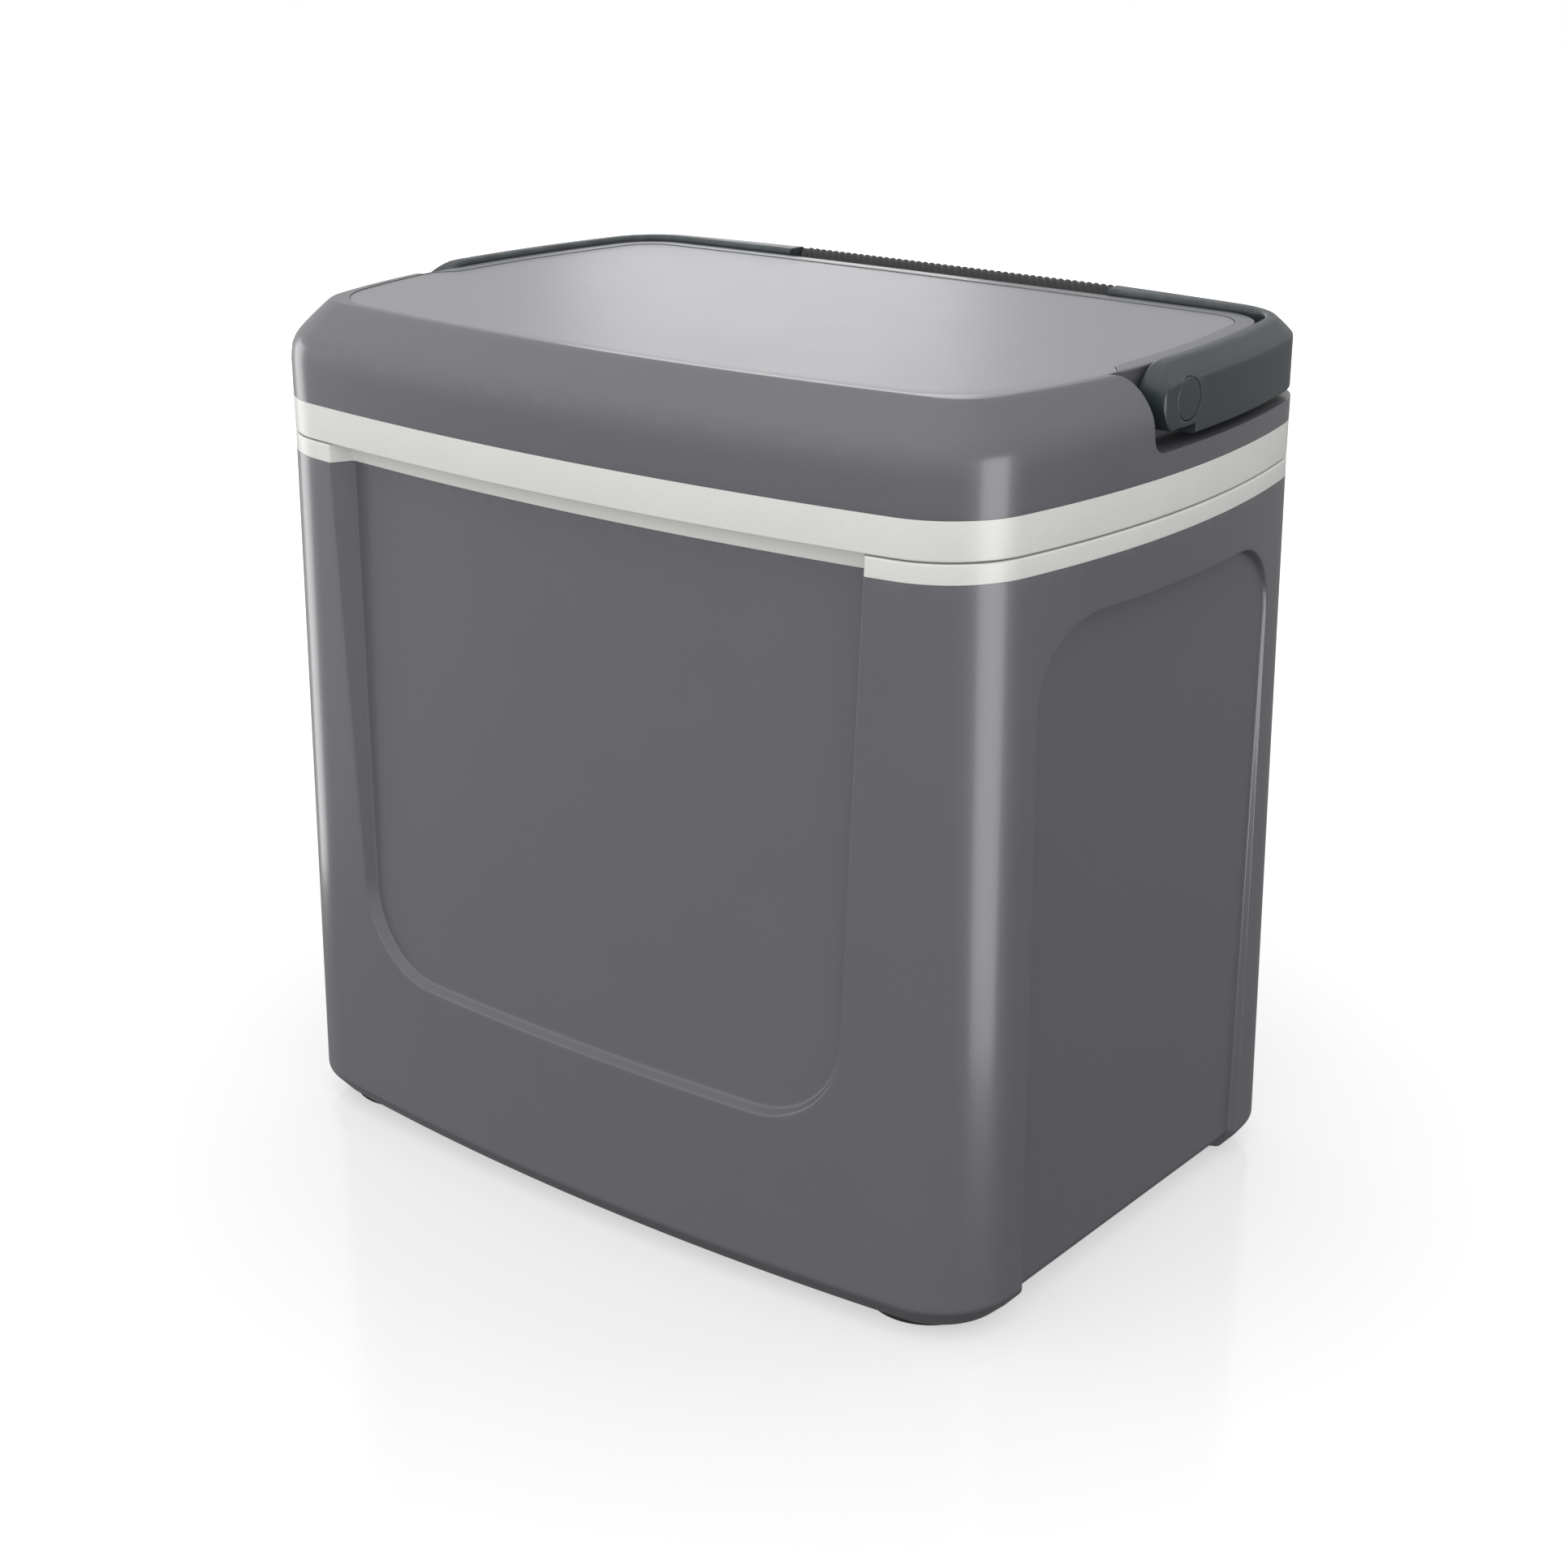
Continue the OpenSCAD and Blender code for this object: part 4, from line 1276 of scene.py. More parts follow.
    def shell(self) -> None:
        """Lid shell: outer wall, slope, rim, panel pocket, and the cradle round the handle."""
        st, y_curve, y_even, h = self.stations, self.curve_y, self.spread_y(), self.curve_z
        steps = np.array([0, 0.12, 0.26, 0.38, 0.47, 0.55, 0.62, 0.68, 0.74, 0.79, 0.84, 0.88, 0.92, 0.95, 0.972, 0.988,
                          1.0])
        side = []
        for v in steps:
            z = self.z_low + (h - self.z_low) * v
            side.append(st.on(self.outer(z), y_even + (y_curve - y_even) * v, z))
        crest = side[-1]
        edge, wall_foot = self.panel_edge(0.0, self.z_top), st.on(self.cradle, y_curve, h)
        wall_top = st.on(self.cradle, y_even, self.z_top)
        flat = (st.zone < Zone.SHOULDER.value)[:, None]
        wall_foot = np.where(flat, crest + (edge - crest) * 0.45, wall_foot)
        wall_top = np.where(flat, crest + (edge - crest) * 0.55, wall_top)
        pocket = edge * (1, 1, 0) + (0, 0, self.panel_low)
        inner_o = self.cradle.inset(self.wall)
        deep = np.where(st.zone < Zone.SHOULDER.value, 400.0, self.ledge_z - self.wall)
        deep = np.where((st.zone == Zone.SIDE_FRONT.value) & (st.share > 0.5), self.ledge_z - self.wall, deep)
        roof = self.panel_low - 2.5
        centre = 0 * crest
        low_out = side[0]
        low_in = st.on(self.rim.inset(self.wall), y_even, self.z_low)
        corners = [low_in, low_out, *side[1:-1], crest, wall_foot, wall_top, edge, pocket, pocket * (0.97, 0.97, 1),
                   centre + (0, 0, self.panel_low), centre + (0, 0, roof), st.on(inner_o, y_even, roof),
                   st.on(inner_o, y_even, deep), st.on(self.rim.inset(self.wall), y_even, deep), low_in]
        reach: list[Number] = [0, 0.3] + [0] * (len(side) - 2) + [1.5, np.where(flat[:, 0], 0.05, 1.6), 1.3, 0.35, 0.15]
        reach += [0] * (len(corners) - len(reach))
        work = Patchwork()
        work.add(rounded(corners, reach, 6).transpose(1, 0, 2), "x")
        piece = work.build("lid_shell_moulding", math.radians(50))
        self.shop.deliver(piece, Body.LID, Slot.SHELL, "lid_shell")

    def panel(self) -> None:
        """Textured panel in the lid's top."""
        z1 = box_mm("lid_top_panel")[1].z
        edge_low, edge_top = (self.panel_edge(self.panel_gap, z) for z in (self.panel_low, z1))
        centre = 0 * edge_low
        corners = [centre + (0, 0, self.panel_low), edge_low, edge_top, edge_top * (0.94, 0.94, 1),
                   edge_top * (0.5, 0.5, 1), centre + (0, 0, z1)]
        work = Patchwork()
        work.add(rounded(corners, [0, 0, 0.35, 0, 0, 0], 5).transpose(1, 0, 2), "x")
        self.shop.deliver(work.build("lid_panel_textured"), Body.LID, Slot.PANEL, "lid_top_panel")

    def liner(self) -> None:
        """Cream lid liner: band, flange with the gasket's groove, and the plug that reaches into the body."""
        low, high = box_mm("lid_liner")
        gasket_low, gasket_high = box_mm("lid_gasket")
        u = np.concatenate([np.linspace(0, 1, 13)[:-1], np.linspace(1, 2, 17)[:-1], np.linspace(2, 3, 11)])
        z0, skin = gasket_low.z + 0.5, self.plug_skin
        groove_z, inner_z = gasket_high.z + 0.1, z0 + self.wall
        groove, plug, plug_low = (STORE.inset(gap) for gap in (-self.gasket_gap, *self.plug_gap))
        groove_in, rim_in = groove.inset(self.gasket_w), self.rim.inset(self.wall)
        section = [(rim_in, high.z), (self.rim, high.z), (self.rim, z0), (groove, z0), (groove, groove_z),
                   (groove_in, groove_z), (groove_in, z0), (plug, z0), (plug_low, low.z), (None, low.z),
                   (None, low.z + skin), (plug_low.inset(skin), low.z + skin), (plug.inset(skin), inner_z),
                   (rim_in, inner_z), (rim_in, high.z)]
        corners = [points(0 * u, 0 * u, z) if o is None else ring_at(o, u, z) for o, z in section]
        reach = [0, 0.3, 0.9, 0.3, 0, 0, 0.3, 1.2, 5.0, 0, 0, 3.0, 0.5, 0, 0]
        work = Patchwork()
        work.add(rounded(corners, reach, 6).transpose(1, 0, 2), "xy")
        piece = work.build("lid_liner_moulding")
        leaf_low, leaf_high = box_mm("hinge_lid_leaf_right")
        middle = (leaf_low.x + leaf_high.x) / 2
        boss_y = (leaf_low.y - 1, self.rim.depth_at(middle) - 2)
        for side in SIDES:
            leaf = on_side(side, (middle - self.leaf_half, middle + self.leaf_half))
            carve(piece, "UNION", (leaf[0] - 1, leaf[1] + 1), boss_y, (z0 + 0.4, high.z - 4))
            carve(piece, "DIFFERENCE", on_side(side, SLOT_X), SLOT_Y, (z0 - 1, inner_z + 1))
            carve(piece, "DIFFERENCE", leaf, (leaf_low.y - 0.1, leaf_high.y + 0.2), (z0 - 1, z0 + 2.5))
        self.shop.deliver(piece, Body.LID, Slot.CREAM, "lid_liner")

    def build(self) -> None:
        """Builds every piece of the lid."""
        self.shell()
        self.panel()
        self.liner()


# ---- Handle ----


@dataclass
class Handle:
    """The folding handle: bail, pivot caps and ribbed grip."""

    shop: Workshop
    outline: Outline = RIM.inset(0.6)
    inner: Outline = Outline.bowed(209.7, 134.0, 7.5, 17.0, 26.0)
    pivot_z: float = 410.3
    end_y: float = -19.4
    end_r: float = 16.4
    notch_y: float = 6.5
    notch_h: float = 4.0
    crown: tuple[Pair, ...] = ((0, 9.5), (0.4, 8.3), (1.1, 7.4), (7.3, 0.8), (8.1, 0.2), (9.2, 0))
    end_turns: tuple[float, ...] = (90, 86, 82, 77, 71, 64, 56, 47, 37, 26, 14, 0)
    tip: float = 1.6
    rows_below: tuple[float, ...] = (0.0, 0.3, 0.6, 1.0)
    rows_above: tuple[float, ...] = (0.16, 0.31, 0.43, 0.475, 0.51, 0.545, 0.66, 0.78, 0.88, 0.935, 0.975, 1.0)
    core_y: Pair = (141.0, 150.0)
    core_z: Pair = (404.0, 414.8)
    core_reach: float = 6.0
    cap_gap: float = 0.35
    rib_pitch: float = 4.2
    rib_starts: int = 7

    def sections(self) -> np.ndarray:
        """Closed cross sections of the bail's right half, with the outer top edge cut off at a slant.

        Returns:
            Array of section, point and coordinate, from the arm's round front end to the middle of the rear.
        """
        low, high = (c.z for c in box_mm("handle_bail"))
        mid, mid_y = (low + high) / 2, self.end_y + self.end_r
        turn = np.radians(np.array(self.end_turns))
        ys = np.concatenate([mid_y - self.end_r * np.sin(turn), [0.0, 3.5, self.notch_y, self.notch_y]])
        arm = len(ys)
        back = np.linspace(0, 1, 15)[1:]
        zone = np.array([Zone.SHOULDER.value] * arm + [Zone.SIDE_REAR.value] * len(back)
                        + [Zone.REAR.value] * 36)
        share = np.concatenate([np.zeros(arm), back, np.linspace(2, 1, 25)[1:], np.linspace(1, 0, 13)[1:]])
        st = Stations(zone, share)
        y = np.concatenate([ys, np.zeros(len(share) - arm)])
        in_arm = zone == Zone.SHOULDER.value
        lift = np.where(in_arm & (np.arange(len(y)) < arm - 1), self.notch_h, 0.0)
        bow = np.clip((y - mid_y) / self.end_r, -1, 0)
        disc = np.where(in_arm, np.sqrt(np.maximum(1 - bow**2, 0)), 1.0)
        floor = np.maximum(low + lift, mid - self.end_r * disc)
        squeeze = np.minimum((mid - floor) / (mid - low - lift), 1)
        near = np.where(in_arm, np.clip(self.end_y + self.tip - y, 0, self.tip), 0)
        fold = self.tip - np.sqrt(self.tip**2 - near**2)

        def outside(z: np.ndarray) -> np.ndarray:
            """Points of the columns on the bail's outer face at a height."""
            pull = smooth_through(list(self.crown), high - z) + fold
            return st.on(self.outline.inset(pull), y, z)

        foot, *below = self.rows_below
        wall = [outside(floor + foot)]
        wall += [outside(mid - (mid - low - self.notch_h) * (1 - v) * squeeze) for v in below]
        wall += [outside(mid + (high - mid) * v * disc) for v in self.rows_above]
        inside = self.inner.inset(-fold)
        top_in, low_in = st.on(inside, y, mid + (high - mid) * disc), st.on(inside, y, floor)
        under = (low_in + wall[0]) / 2
        end_reach = np.where(in_arm & (y < mid_y + 2), 1.3, 0.4)
        corners = [under, *wall, top_in, low_in, under]
        reach: list[Number] = [0, 1.4] + [0] * (len(wall) - 2) + [end_reach, 2.6, 1.4, 0]
        return rounded(corners, reach, 6)

    def cap_hole(self, side: int) -> bpy.types.Object:
        """Cutter for the round seat of a pivot cap.

        Args:
            side: 1 for the right side, -1 for the left.

        Returns:
            The cutter, which runs out through the arm's face.
        """
        low, high = box_mm("pivot_cap_right")
        r, start, end = (high.z - low.z) / 2 + self.cap_gap, low.x - 0.1, high.x + 5
        turn = np.linspace(0, 2 * math.pi, 97)
        loops = [points(side * x, rr * np.cos(turn), self.pivot_z + rr * np.sin(turn))
                 for x, rr in ((start, 0), (start, r), (end, r), (end, 0))]
        tool = Patchwork()
        tool.add(np.stack(loops))
        return tool.build("tool")

    def bail(self) -> None:
        """Bail: two arms with round front ends, joined behind the lid, with a core under the grip."""
        section, grip_x = self.sections(), box_mm("handle_grip")[1].x
        arm = section[section[:, :, 0].min(axis=1) > grip_x + 1]
        slope = (arm[-1] - arm[-2]) / (arm[-1] - arm[-2])[:, :1]
        last = arm[-1] + slope * (grip_x - arm[-1][:, :1])
        hub = last.mean(axis=0)
        loops = [arm[0].mean(axis=0) + 0 * last, *arm, last, hub + (last - hub) * 0.5, hub + 0 * last]
        work = Patchwork()
        work.add(np.stack(loops), "x")
        (y0, y1), (z0, z1), core_x = self.core_y, self.core_z, grip_x + self.core_reach
        work.add(block((-core_x, y0, z0), (core_x, y1, z1)))
        piece = work.build("handle_bail_moulding", math.radians(45))
        for side in SIDES:
            combine(piece, self.cap_hole(side), "DIFFERENCE")
        self.shop.deliver(piece, Body.HANDLE, Slot.SLATE, "handle_bail")

    def caps(self) -> None:
        """Plain round caps over the pivot pins, each with a dark groove round it."""
        for name in ("left", "right"):
            low, high = box_mm(f"pivot_cap_{name}")
            r, t = (high.z - low.z) / 2, high.x - low.x
            side = 1 if name == "right" else -1
            face = high.x if side > 0 else low.x
            profile = [(0, -t), (r, -t), (r, 0), (0, 0)]
            piece = lathe(f"pivot_cap_{name}_disc", [(a, side * b) for a, b in profile], [0, 0.2, 0.6, 0],
                          (face, 0.0, (low.z + high.z) / 2), "x")
            self.shop.deliver(piece, Body.HANDLE, Slot.SLATE, f"pivot_cap_{name}")

    def grip(self) -> None:
        """Ribbed rubber grip, whose ribs a node tree winds round an upright oval."""
        low, high = box_mm("handle_grip")
        size, middle = high - low, (low + high) / 2
        sizes = {"Length": size.x * MM, "Half Depth": size.y / 2 * MM, "Half Height": size.z / 2 * MM,
                 "Rib Pitch": self.rib_pitch * MM, "Rib Height": 0.95 * MM, "Rib Starts": float(self.rib_starts),
                 "Centre Y": middle.y * MM, "Centre Z": middle.z * MM}
        tree = GraftTree("Ribbed grip", list(sizes), self.shop.material(Slot.RUBBER))
        grid = tree.node("GeometryNodeMeshGrid")
        grid.inputs["Size X"].default_value = grid.inputs["Size Y"].default_value = 1.0
        grid.inputs["Vertices X"].default_value, grid.inputs["Vertices Y"].default_value = 601, 73
        place = tree.node("ShaderNodeSeparateXYZ")
        tree.link(tree.node("GeometryNodeInputPosition").outputs[0], place.inputs[0])
        m = tree.maths
        x = m("MULTIPLY", place.outputs[0], tree.size("Length"))
        turn = m("MULTIPLY", place.outputs[1], 2 * math.pi)
        from_end = m("SUBTRACT", m("MULTIPLY", tree.size("Length"), 0.5), m("ABSOLUTE", x, 0.0))
        fade = m("MINIMUM", m("DIVIDE", from_end, 2.2 * MM), 1.0)
        fillet = m("SQRT", m("SUBTRACT", 1.0, m("POWER", m("SUBTRACT", 1.0, fade), 2.0)), 0.0)
        phase = m("SUBTRACT", m("DIVIDE", x, tree.size("Rib Pitch")),
                  m("MULTIPLY", place.outputs[1], tree.size("Rib Starts")))
        rib = m("ABSOLUTE", m("SINE", m("MULTIPLY", phase, math.pi), 0.0), 0.0)
        deep = m("MULTIPLY", m("SUBTRACT", 1.0, m("POWER", rib, 0.7)), tree.size("Rib Height"))
        shut = m("GREATER_THAN", from_end, 1e-6)
        trim = m("MULTIPLY", m("SUBTRACT", 1.0, fillet), 1.8 * MM)
        pull = m("ADD", m("MULTIPLY", deep, fillet), trim)
        radius = m("SUBTRACT", tree.size("Half Depth"), pull)
        sine, cosine = m("SINE", turn, 0.0), m("COSINE", turn, 0.0)
        straight = m("SUBTRACT", tree.size("Half Height"), tree.size("Half Depth"))
        side = m("MAXIMUM", m("MINIMUM", m("MULTIPLY", sine, 3.0), 1.0), -1.0)
        up = m("ADD", m("MULTIPLY", radius, sine), m("MULTIPLY", side, straight))
        across = m("MULTIPLY", radius, cosine)
        target = tree.node("ShaderNodeCombineXYZ")
        tree.link(x, target.inputs[0])
        tree.link(m("ADD", m("MULTIPLY", across, shut), tree.size("Centre Y")), target.inputs[1])
        tree.link(m("ADD", m("MULTIPLY", up, shut), tree.size("Centre Z")), target.inputs[2])
        move = tree.node("GeometryNodeSetPosition")
        tree.link(grid.outputs["Mesh"], move.inputs["Geometry"])
        tree.link(target.outputs[0], move.inputs["Position"])
        piece = tree.grow("handle_grip_ribbed", move.outputs[0], sizes)
        self.shop.deliver(piece, Body.HANDLE, Slot.RUBBER, "handle_grip")

    def build(self) -> None:
        """Builds every piece of the handle."""
        self.bail()
        self.caps()
        self.grip()


# ---- Pieces that node trees make ----


class GraftTree:
    """A geometry node tree with named sizes, whose result becomes a plain mesh."""

    def __init__(self, name: str, sizes: list[str], material: bpy.types.Material) -> None:
        """Starts a tree.

        Args:
            name: Name of the tree.
            sizes: Names of its number inputs.
            material: What its result is made of.
        """
        self.tree = bpy.data.node_groups.new(name, "GeometryNodeTree")
        face = self.tree.interface
        face.new_socket(name="Geometry", in_out="INPUT", socket_type="NodeSocketGeometry")
        face.new_socket(name="Geometry", in_out="OUTPUT", socket_type="NodeSocketGeometry")
        self._ids = {s: face.new_socket(name=s, in_out="INPUT", socket_type="NodeSocketFloat").identifier
                     for s in sizes}
        self.source = self.node("NodeGroupInput")
        self._material = material

    def node(self, kind: str) -> bpy.types.Node:
        """Adds a node of a kind."""
        return self.tree.nodes.new(kind)

    def link(self, source: bpy.types.NodeSocket, target: bpy.types.NodeSocket) -> None:
        """Joins two sockets."""
        self.tree.links.new(source, target)

    def size(self, name: str) -> bpy.types.NodeSocket:
        """Socket of a named size."""
        return self.source.outputs[name]

    def maths(self, how: str, a: object, b: object) -> bpy.types.NodeSocket:
        """Result of a sum on numbers or sockets.

        Args:
            how: Name of the operation.
            a: First socket or number.
            b: Second socket or number.

        Returns:
            The result.
        """
        step = self.node("ShaderNodeMath")
        step.operation = how
        for value, socket in ((a, step.inputs[0]), (b, step.inputs[1])):
            if isinstance(value, bpy.types.NodeSocket):
                self.link(value, socket)
            else:
                socket.default_value = value
        return step.outputs[0]

    def grow(self, name: str, result: bpy.types.NodeSocket, sizes: dict[str, float],
             seed: bpy.types.Object | None = None) -> bpy.types.Object:
        """Ends the tree, runs it on a seed mesh and keeps what it makes.

        Args:
            name: Name of the piece.
            result: Geometry that the tree made.
            sizes: Value of each size.
            seed: The mesh that it starts from, or None for an empty one.

        Returns:
            The piece as a plain mesh.
        """
        real, paint, end = (self.node(k) for k in
                            ("GeometryNodeRealizeInstances", "GeometryNodeSetMaterial", "NodeGroupOutput"))
        paint.inputs["Material"].default_value = self._material
        self.link(result, real.inputs[0])
        self.link(real.outputs[0], paint.inputs["Geometry"])
        self.link(paint.outputs[0], end.inputs[0])
        if seed is None:
            seed = bpy.data.objects.new(name, bpy.data.meshes.new(name))
            bpy.context.scene.collection.objects.link(seed)
        step = seed.modifiers.new("graft", "NODES")
        step.node_group = self.tree
        for key, value in sizes.items():
            step[self._ids[key]] = value
        bake_modifiers(seed)
        seed.name = name
        settle(seed)
        return seed


@dataclass(frozen=True)
class ScrewSet:
    """Identical screws with cross recesses, at points that a CAD node gives."""

    shop: Workshop
    node: str
    body: Body
    places: tuple[Triple, ...]
    aim: Triple
    length: float
    head_r: float = 3.3
    head_h: float = 1.2
    shank_r: float = 1.5

    def build(self) -> None:
        """Sets a modelled screw on each place."""
        mesh = bpy.data.meshes.new(self.node)
        mesh.from_pydata([tuple(c * MM for c in p) for p in self.places], [], [])
        seed = bpy.data.objects.new(self.node + "_set", mesh)
        bpy.context.scene.collection.objects.link(seed)
        sizes = {"Head Radius": self.head_r * MM, "Head Height": self.head_h * MM, "Shank Radius": self.shank_r * MM,
                 "Shank Length": self.length * MM, "Recess Width": 0.9 * MM}
        tree = GraftTree("Screws " + self.node, list(sizes), self.shop.material(Slot.STEEL))
        m = tree.maths

        def moved(shape: bpy.types.NodeSocket, z: bpy.types.NodeSocket) -> bpy.types.NodeSocket:
            """A shape moved along Z.

            Args:
                shape: The geometry.
                z: How far it moves.

            Returns:
                The moved geometry.
            """
            shift, spot = tree.node("GeometryNodeTransform"), tree.node("ShaderNodeCombineXYZ")
            tree.link(z, spot.inputs[2])
            tree.link(shape, shift.inputs["Geometry"])
            tree.link(spot.outputs[0], shift.inputs["Translation"])
            return shift.outputs[0]

        shank = tree.node("GeometryNodeMeshCylinder")
        shank.inputs["Vertices"].default_value = 20
        tree.link(tree.size("Shank Radius"), shank.inputs["Radius"])
        tree.link(tree.size("Shank Length"), shank.inputs["Depth"])
        parts = [moved(shank.outputs["Mesh"], m("ADD", m("MULTIPLY", tree.size("Shank Length"), 0.5), 0.2 * MM))]
        head = tree.node("GeometryNodeMeshCone")
        head.inputs["Vertices"].default_value = 40
        tree.link(m("MULTIPLY", tree.size("Head Radius"), 0.86), head.inputs["Radius Bottom"])
        tree.link(tree.size("Head Radius"), head.inputs["Radius Top"])
        tree.link(tree.size("Head Height"), head.inputs["Depth"])
        cut = tree.node("GeometryNodeMeshBoolean")
        cut.operation = "DIFFERENCE"
        tree.link(head.outputs["Mesh"], cut.inputs["Mesh 1"])
        for long_axis in (0, 1):
            bar, extent = tree.node("GeometryNodeMeshCube"), tree.node("ShaderNodeCombineXYZ")
            tree.link(m("MULTIPLY", tree.size("Head Radius"), 1.1), extent.inputs[long_axis])
            tree.link(tree.size("Recess Width"), extent.inputs[1 - long_axis])
            tree.link(m("MULTIPLY", tree.size("Head Height"), 1.2), extent.inputs[2])
            tree.link(extent.outputs[0], bar.inputs["Size"])
            tree.link(bar.outputs["Mesh"], cut.inputs["Mesh 2"])
        parts.append(cut.outputs[0])
        whole, on_points = tree.node("GeometryNodeJoinGeometry"), tree.node("GeometryNodeInstanceOnPoints")
        for part in parts:
            tree.link(part, whole.inputs[0])
        aim = tree.node("FunctionNodeAlignRotationToVector")
        aim.axis = "Z"
        aim.inputs["Vector"].default_value = self.aim
        to_points = tree.node("GeometryNodeMeshToPoints")
        tree.link(tree.source.outputs["Geometry"], to_points.inputs[0])
        tree.link(to_points.outputs[0], on_points.inputs["Points"])
        tree.link(whole.outputs[0], on_points.inputs["Instance"])
        tree.link(aim.outputs[0], on_points.inputs["Rotation"])
        piece = tree.grow(self.node + "_set", on_points.outputs[0], sizes, seed)
        self.shop.deliver(piece, self.body, Slot.STEEL, self.node)


def screw_sets(shop: Workshop) -> list[ScrewSet]:
    """Every set of screws, placed from the boxes of the pieces that they hold.

    Args:
        shop: Where their finish comes from.

    Returns:
        The sets.
    """
    h = 0.6
    body_leaf, lid_leaf = box_mm("hinge_body_leaf_right"), box_mm("hinge_lid_leaf_right")
    keeper, feet = box_mm("keeper_plate_right"), box_mm("foot_screws")
    middle, top = (body_leaf[0].x + body_leaf[1].x) / 2, box_mm("lid_liner")[0].z + 12.0
    leaf_face = box_mm("hinge_body_screws")[1].y
    hinge = tuple((s * (middle + dx), leaf_face - h, top - drop)
                  for s in SIDES for dx in (-13, 13) for drop in (18, 36))
    lid = tuple((s * (middle + dx), lid_leaf[0].y + 5.5, top + h) for s in SIDES for dx in (-12.5, 12.5))
    keep = tuple((s * (keeper[0].x + keeper[1].x) / 2, 26.0, keeper[1].z - h) for s in SIDES)
    foot_x, foot_y = feet[1].x - 3.4, feet[1].y - 3.4
    foot = tuple((sx * foot_x, sy * foot_y, feet[0].z + h) for sx in SIDES for sy in SIDES)
    return [
        ScrewSet(shop, "hinge_body_screws", Body.COOLER, hinge, (0, -1, 0), 10.4),
        ScrewSet(shop, "hinge_lid_screws", Body.LID, lid, (0, 0, 1), 10.4),
        ScrewSet(shop, "keeper_screws", Body.COOLER, keep, (0, 0, -1), 8.4),
        ScrewSet(shop, "foot_screws", Body.COOLER, foot, (0, 0, 1), 12.0),
    ]


CARRIED_OVER: dict[Slot, tuple[str, ...]] = {
    Slot.FOAM: ("body_foam", "lid_foam"),
    Slot.SEAL: ("lid_gasket",),
    Slot.ACETAL: ("pivot_bush_left", "pivot_bush_right"),
    Slot.STEEL: ("hinge_body_leaf_left", "hinge_body_leaf_right", "hinge_pin_left", "hinge_pin_right",
                 "hinge_lid_leaf_left", "hinge_lid_leaf_right", "keeper_plate_left", "keeper_plate_right",
                 "pivot_pin_left", "pivot_pin_right", "lock_lever_left", "lock_lever_right", "lever_screws"),
}


# ---- Studio ----


@dataclass(frozen=True)
class Softbox:
    """A rectangular studio light."""

    name: str
    place: Triple
    aim: Triple
    size: Pair
    watts: float
    gloss_only: bool = False

    def hang(self) -> None:
        """Puts the light in the scene, seen by the camera only in its reflections."""
        light = bpy.data.lights.new(self.name, "AREA")
        light.shape, light.energy = "RECTANGLE", self.watts
        light.size, light.size_y = self.size
        lamp = bpy.data.objects.new(self.name, light)
        lamp.location = self.place
        lamp.visible_camera, lamp.visible_diffuse = False, not self.gloss_only
        lamp.rotation_euler = (Vector(self.aim) - Vector(self.place)).to_track_quat("-Z", "Y").to_euler()
        bpy.context.scene.collection.objects.link(lamp)


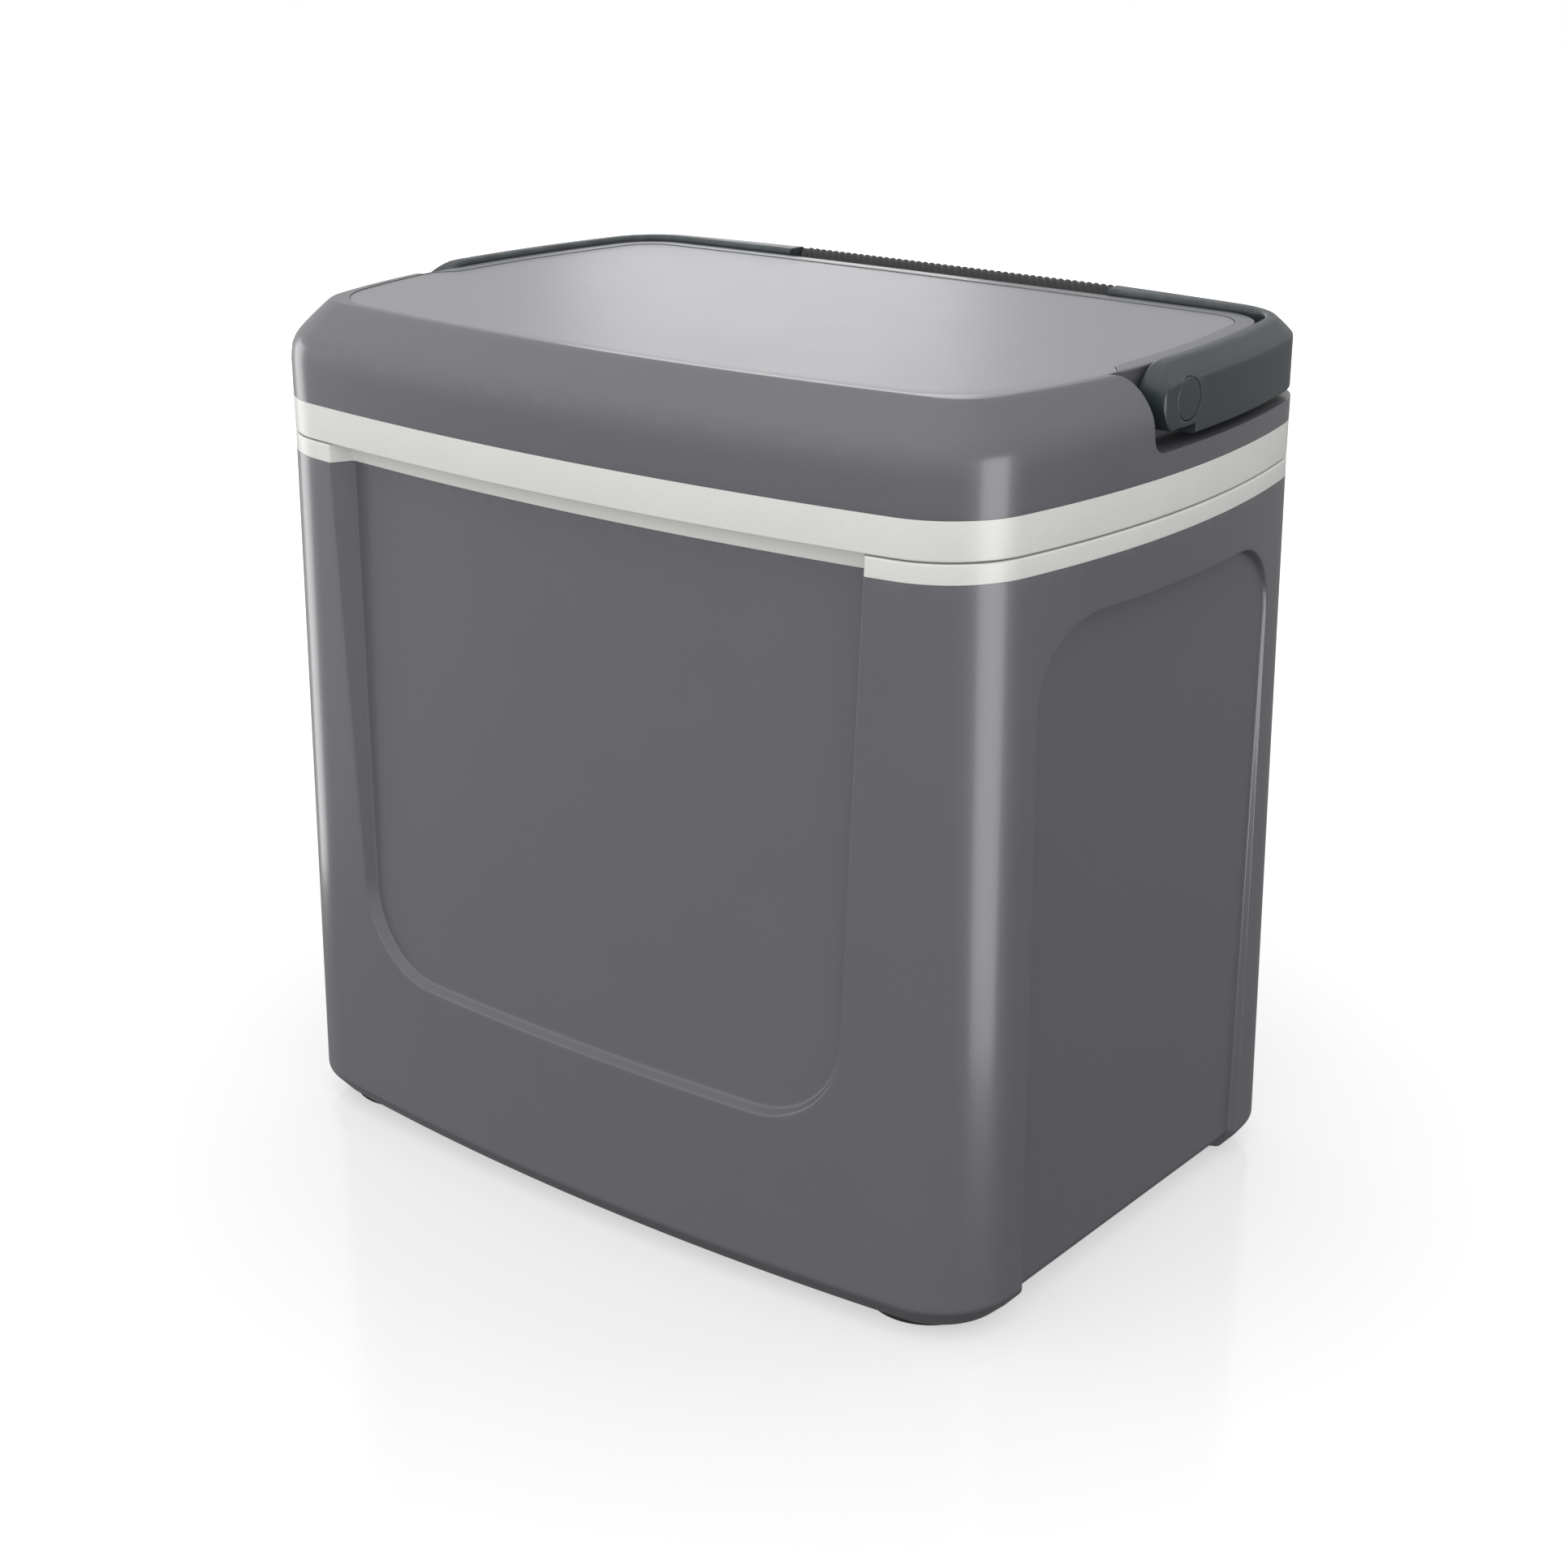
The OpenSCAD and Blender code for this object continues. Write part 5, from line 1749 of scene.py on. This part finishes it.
@dataclass(frozen=True)
class Studio:
    """Pale floor, soft light and the camera."""

    eye: Triple = (0.7811, -0.9763, 0.6456)
    turn: Triple = (math.pi / 2 - 0.355, 0.0, 0.6737)
    lens: float = 60.09
    bright: float = 1.56
    dim: float = 0.08
    dim_way: Triple = (-0.08, 0.48, -0.52)
    under: float = 0.30
    under_from: float = -0.7
    floor_half: float = 6000.0
    floor_gap: float = 0.05
    floor_tone: float = 0.40
    floor_roughness: float = 0.12
    glow_reach: Pair = (0.25, 1.00)
    glow: Pair = (0.54, 0.92)
    boxes: tuple[Softbox, ...] = (
        Softbox("over", (-0.2, -0.5, 2.6), (0, 0, 0.2), (2.4, 2.4), 2.5),
        Softbox("behind_lid", (-1.05, 1.30, 0.72), (0.0, 0.0, 0.42), (0.45, 0.60), 1.0, gloss_only=True),
        Softbox("right_strip", (0.62, -0.16, 0.23), (0.20, -0.12, 0.23), (0.24, 0.58), 1.8, gloss_only=True),
        Softbox("left_strip", (-0.66, -0.16, 0.23), (-0.20, -0.12, 0.23), (0.20, 0.58), 0.9, gloss_only=True),
    )

    def floor(self) -> None:
        """Makes a pale floor that glows more the further it is from the cooler."""
        sheet = Patchwork()
        line = np.linspace(-self.floor_half, self.floor_half, 3)
        x, y = np.meshgrid(line, line)
        sheet.add(points(x, y, 0.0 * x - self.floor_gap))
        ground = sheet.build("studio_floor")
        mat = bpy.data.materials.new("studio_floor")
        mat.use_nodes = True
        net = Net(mat.node_tree)
        net.shader.inputs["Base Color"].default_value = (*[self.floor_tone] * 3, 1)
        net.shader.inputs["Roughness"].default_value = self.floor_roughness
        net.shader.inputs["Emission Color"].default_value = (1, 1, 1, 1)
        away = net.add("ShaderNodeVectorMath")
        away.operation = "LENGTH"
        net.link(net.add("ShaderNodeTexCoord").outputs["Object"], away.inputs[0])
        glow = net.spread(away.outputs["Value"], *self.glow_reach, *self.glow)
        net.link(glow, net.shader.inputs["Emission Strength"])
        ground.data.materials.append(mat)
        ground.visible_diffuse = ground.visible_glossy = False

    def sky(self) -> None:
        """Makes a soft surrounding light, dimmer behind and below, and white where it is seen directly."""
        world = bpy.data.worlds.new("studio")
        world.use_nodes = True
        tree, sky = world.node_tree, world.node_tree.nodes["Background"]
        sky.inputs["Color"].default_value = (1, 1, 1, 1)
        way, ray, split, dot = (tree.nodes.new("ShaderNode" + kind) for kind in
                                ("TexCoord", "LightPath", "SeparateXYZ", "VectorMath"))
        fall, rise = (tree.nodes.new("ShaderNodeMapRange") for _ in range(2))
        both, pick = (tree.nodes.new("ShaderNodeMath") for _ in range(2))
        dot.operation, both.operation, pick.operation = "DOT_PRODUCT", "MULTIPLY", "MAXIMUM"
        dot.inputs[1].default_value = self.dim_way
        for step, numbers in ((fall, (-1.0, 1.0, self.bright, self.dim)),
                              (rise, (self.under_from, 0.0, self.under, 1.0))):
            for key, number in zip(("From Min", "From Max", "To Min", "To Max"), numbers):
                step.inputs[key].default_value = number
        for source, target in (
                (way.outputs["Generated"], dot.inputs[0]), (way.outputs["Generated"], split.inputs[0]),
                (dot.outputs["Value"], fall.inputs["Value"]), (split.outputs["Z"], rise.inputs["Value"]),
                (fall.outputs["Result"], both.inputs[0]), (rise.outputs["Result"], both.inputs[1]),
                (both.outputs[0], pick.inputs[0]), (ray.outputs["Is Camera Ray"], pick.inputs[1]),
                (pick.outputs[0], sky.inputs["Strength"])):
            tree.links.new(source, target)
        bpy.context.scene.world = world

    def camera(self) -> None:
        """Makes the camera and the plain view of its colours."""
        scene = bpy.context.scene
        scene.view_settings.view_transform = "Standard"
        camera = bpy.data.cameras.new("camera")
        camera.lens, camera.sensor_width = self.lens, 36.0
        camera.clip_start, camera.clip_end = 0.05, 50.0
        view = bpy.data.objects.new("camera", camera)
        view.location, view.rotation_euler = self.eye, self.turn
        scene.collection.objects.link(view)
        scene.camera = view

    def set_up(self) -> None:
        """Makes the floor, the lights, the sky and the camera."""
        self.floor()
        for box in self.boxes:
            box.hang()
        self.sky()
        self.camera()


def main() -> None:
    """Builds the cooler, its finishes and the studio, in order."""
    logging.basicConfig(level=logging.INFO, format="%(name)s: %(message)s")
    shop = Workshop()
    Studio().set_up()
    CoolerBody(shop).build()
    Lid(shop).build()
    Handle(shop).build()
    for screws in screw_sets(shop):
        screws.build()
    for slot, nodes in CARRIED_OVER.items():
        for node in nodes:
            shop.dress(node, slot)


if __name__ == "__main__":
    main()
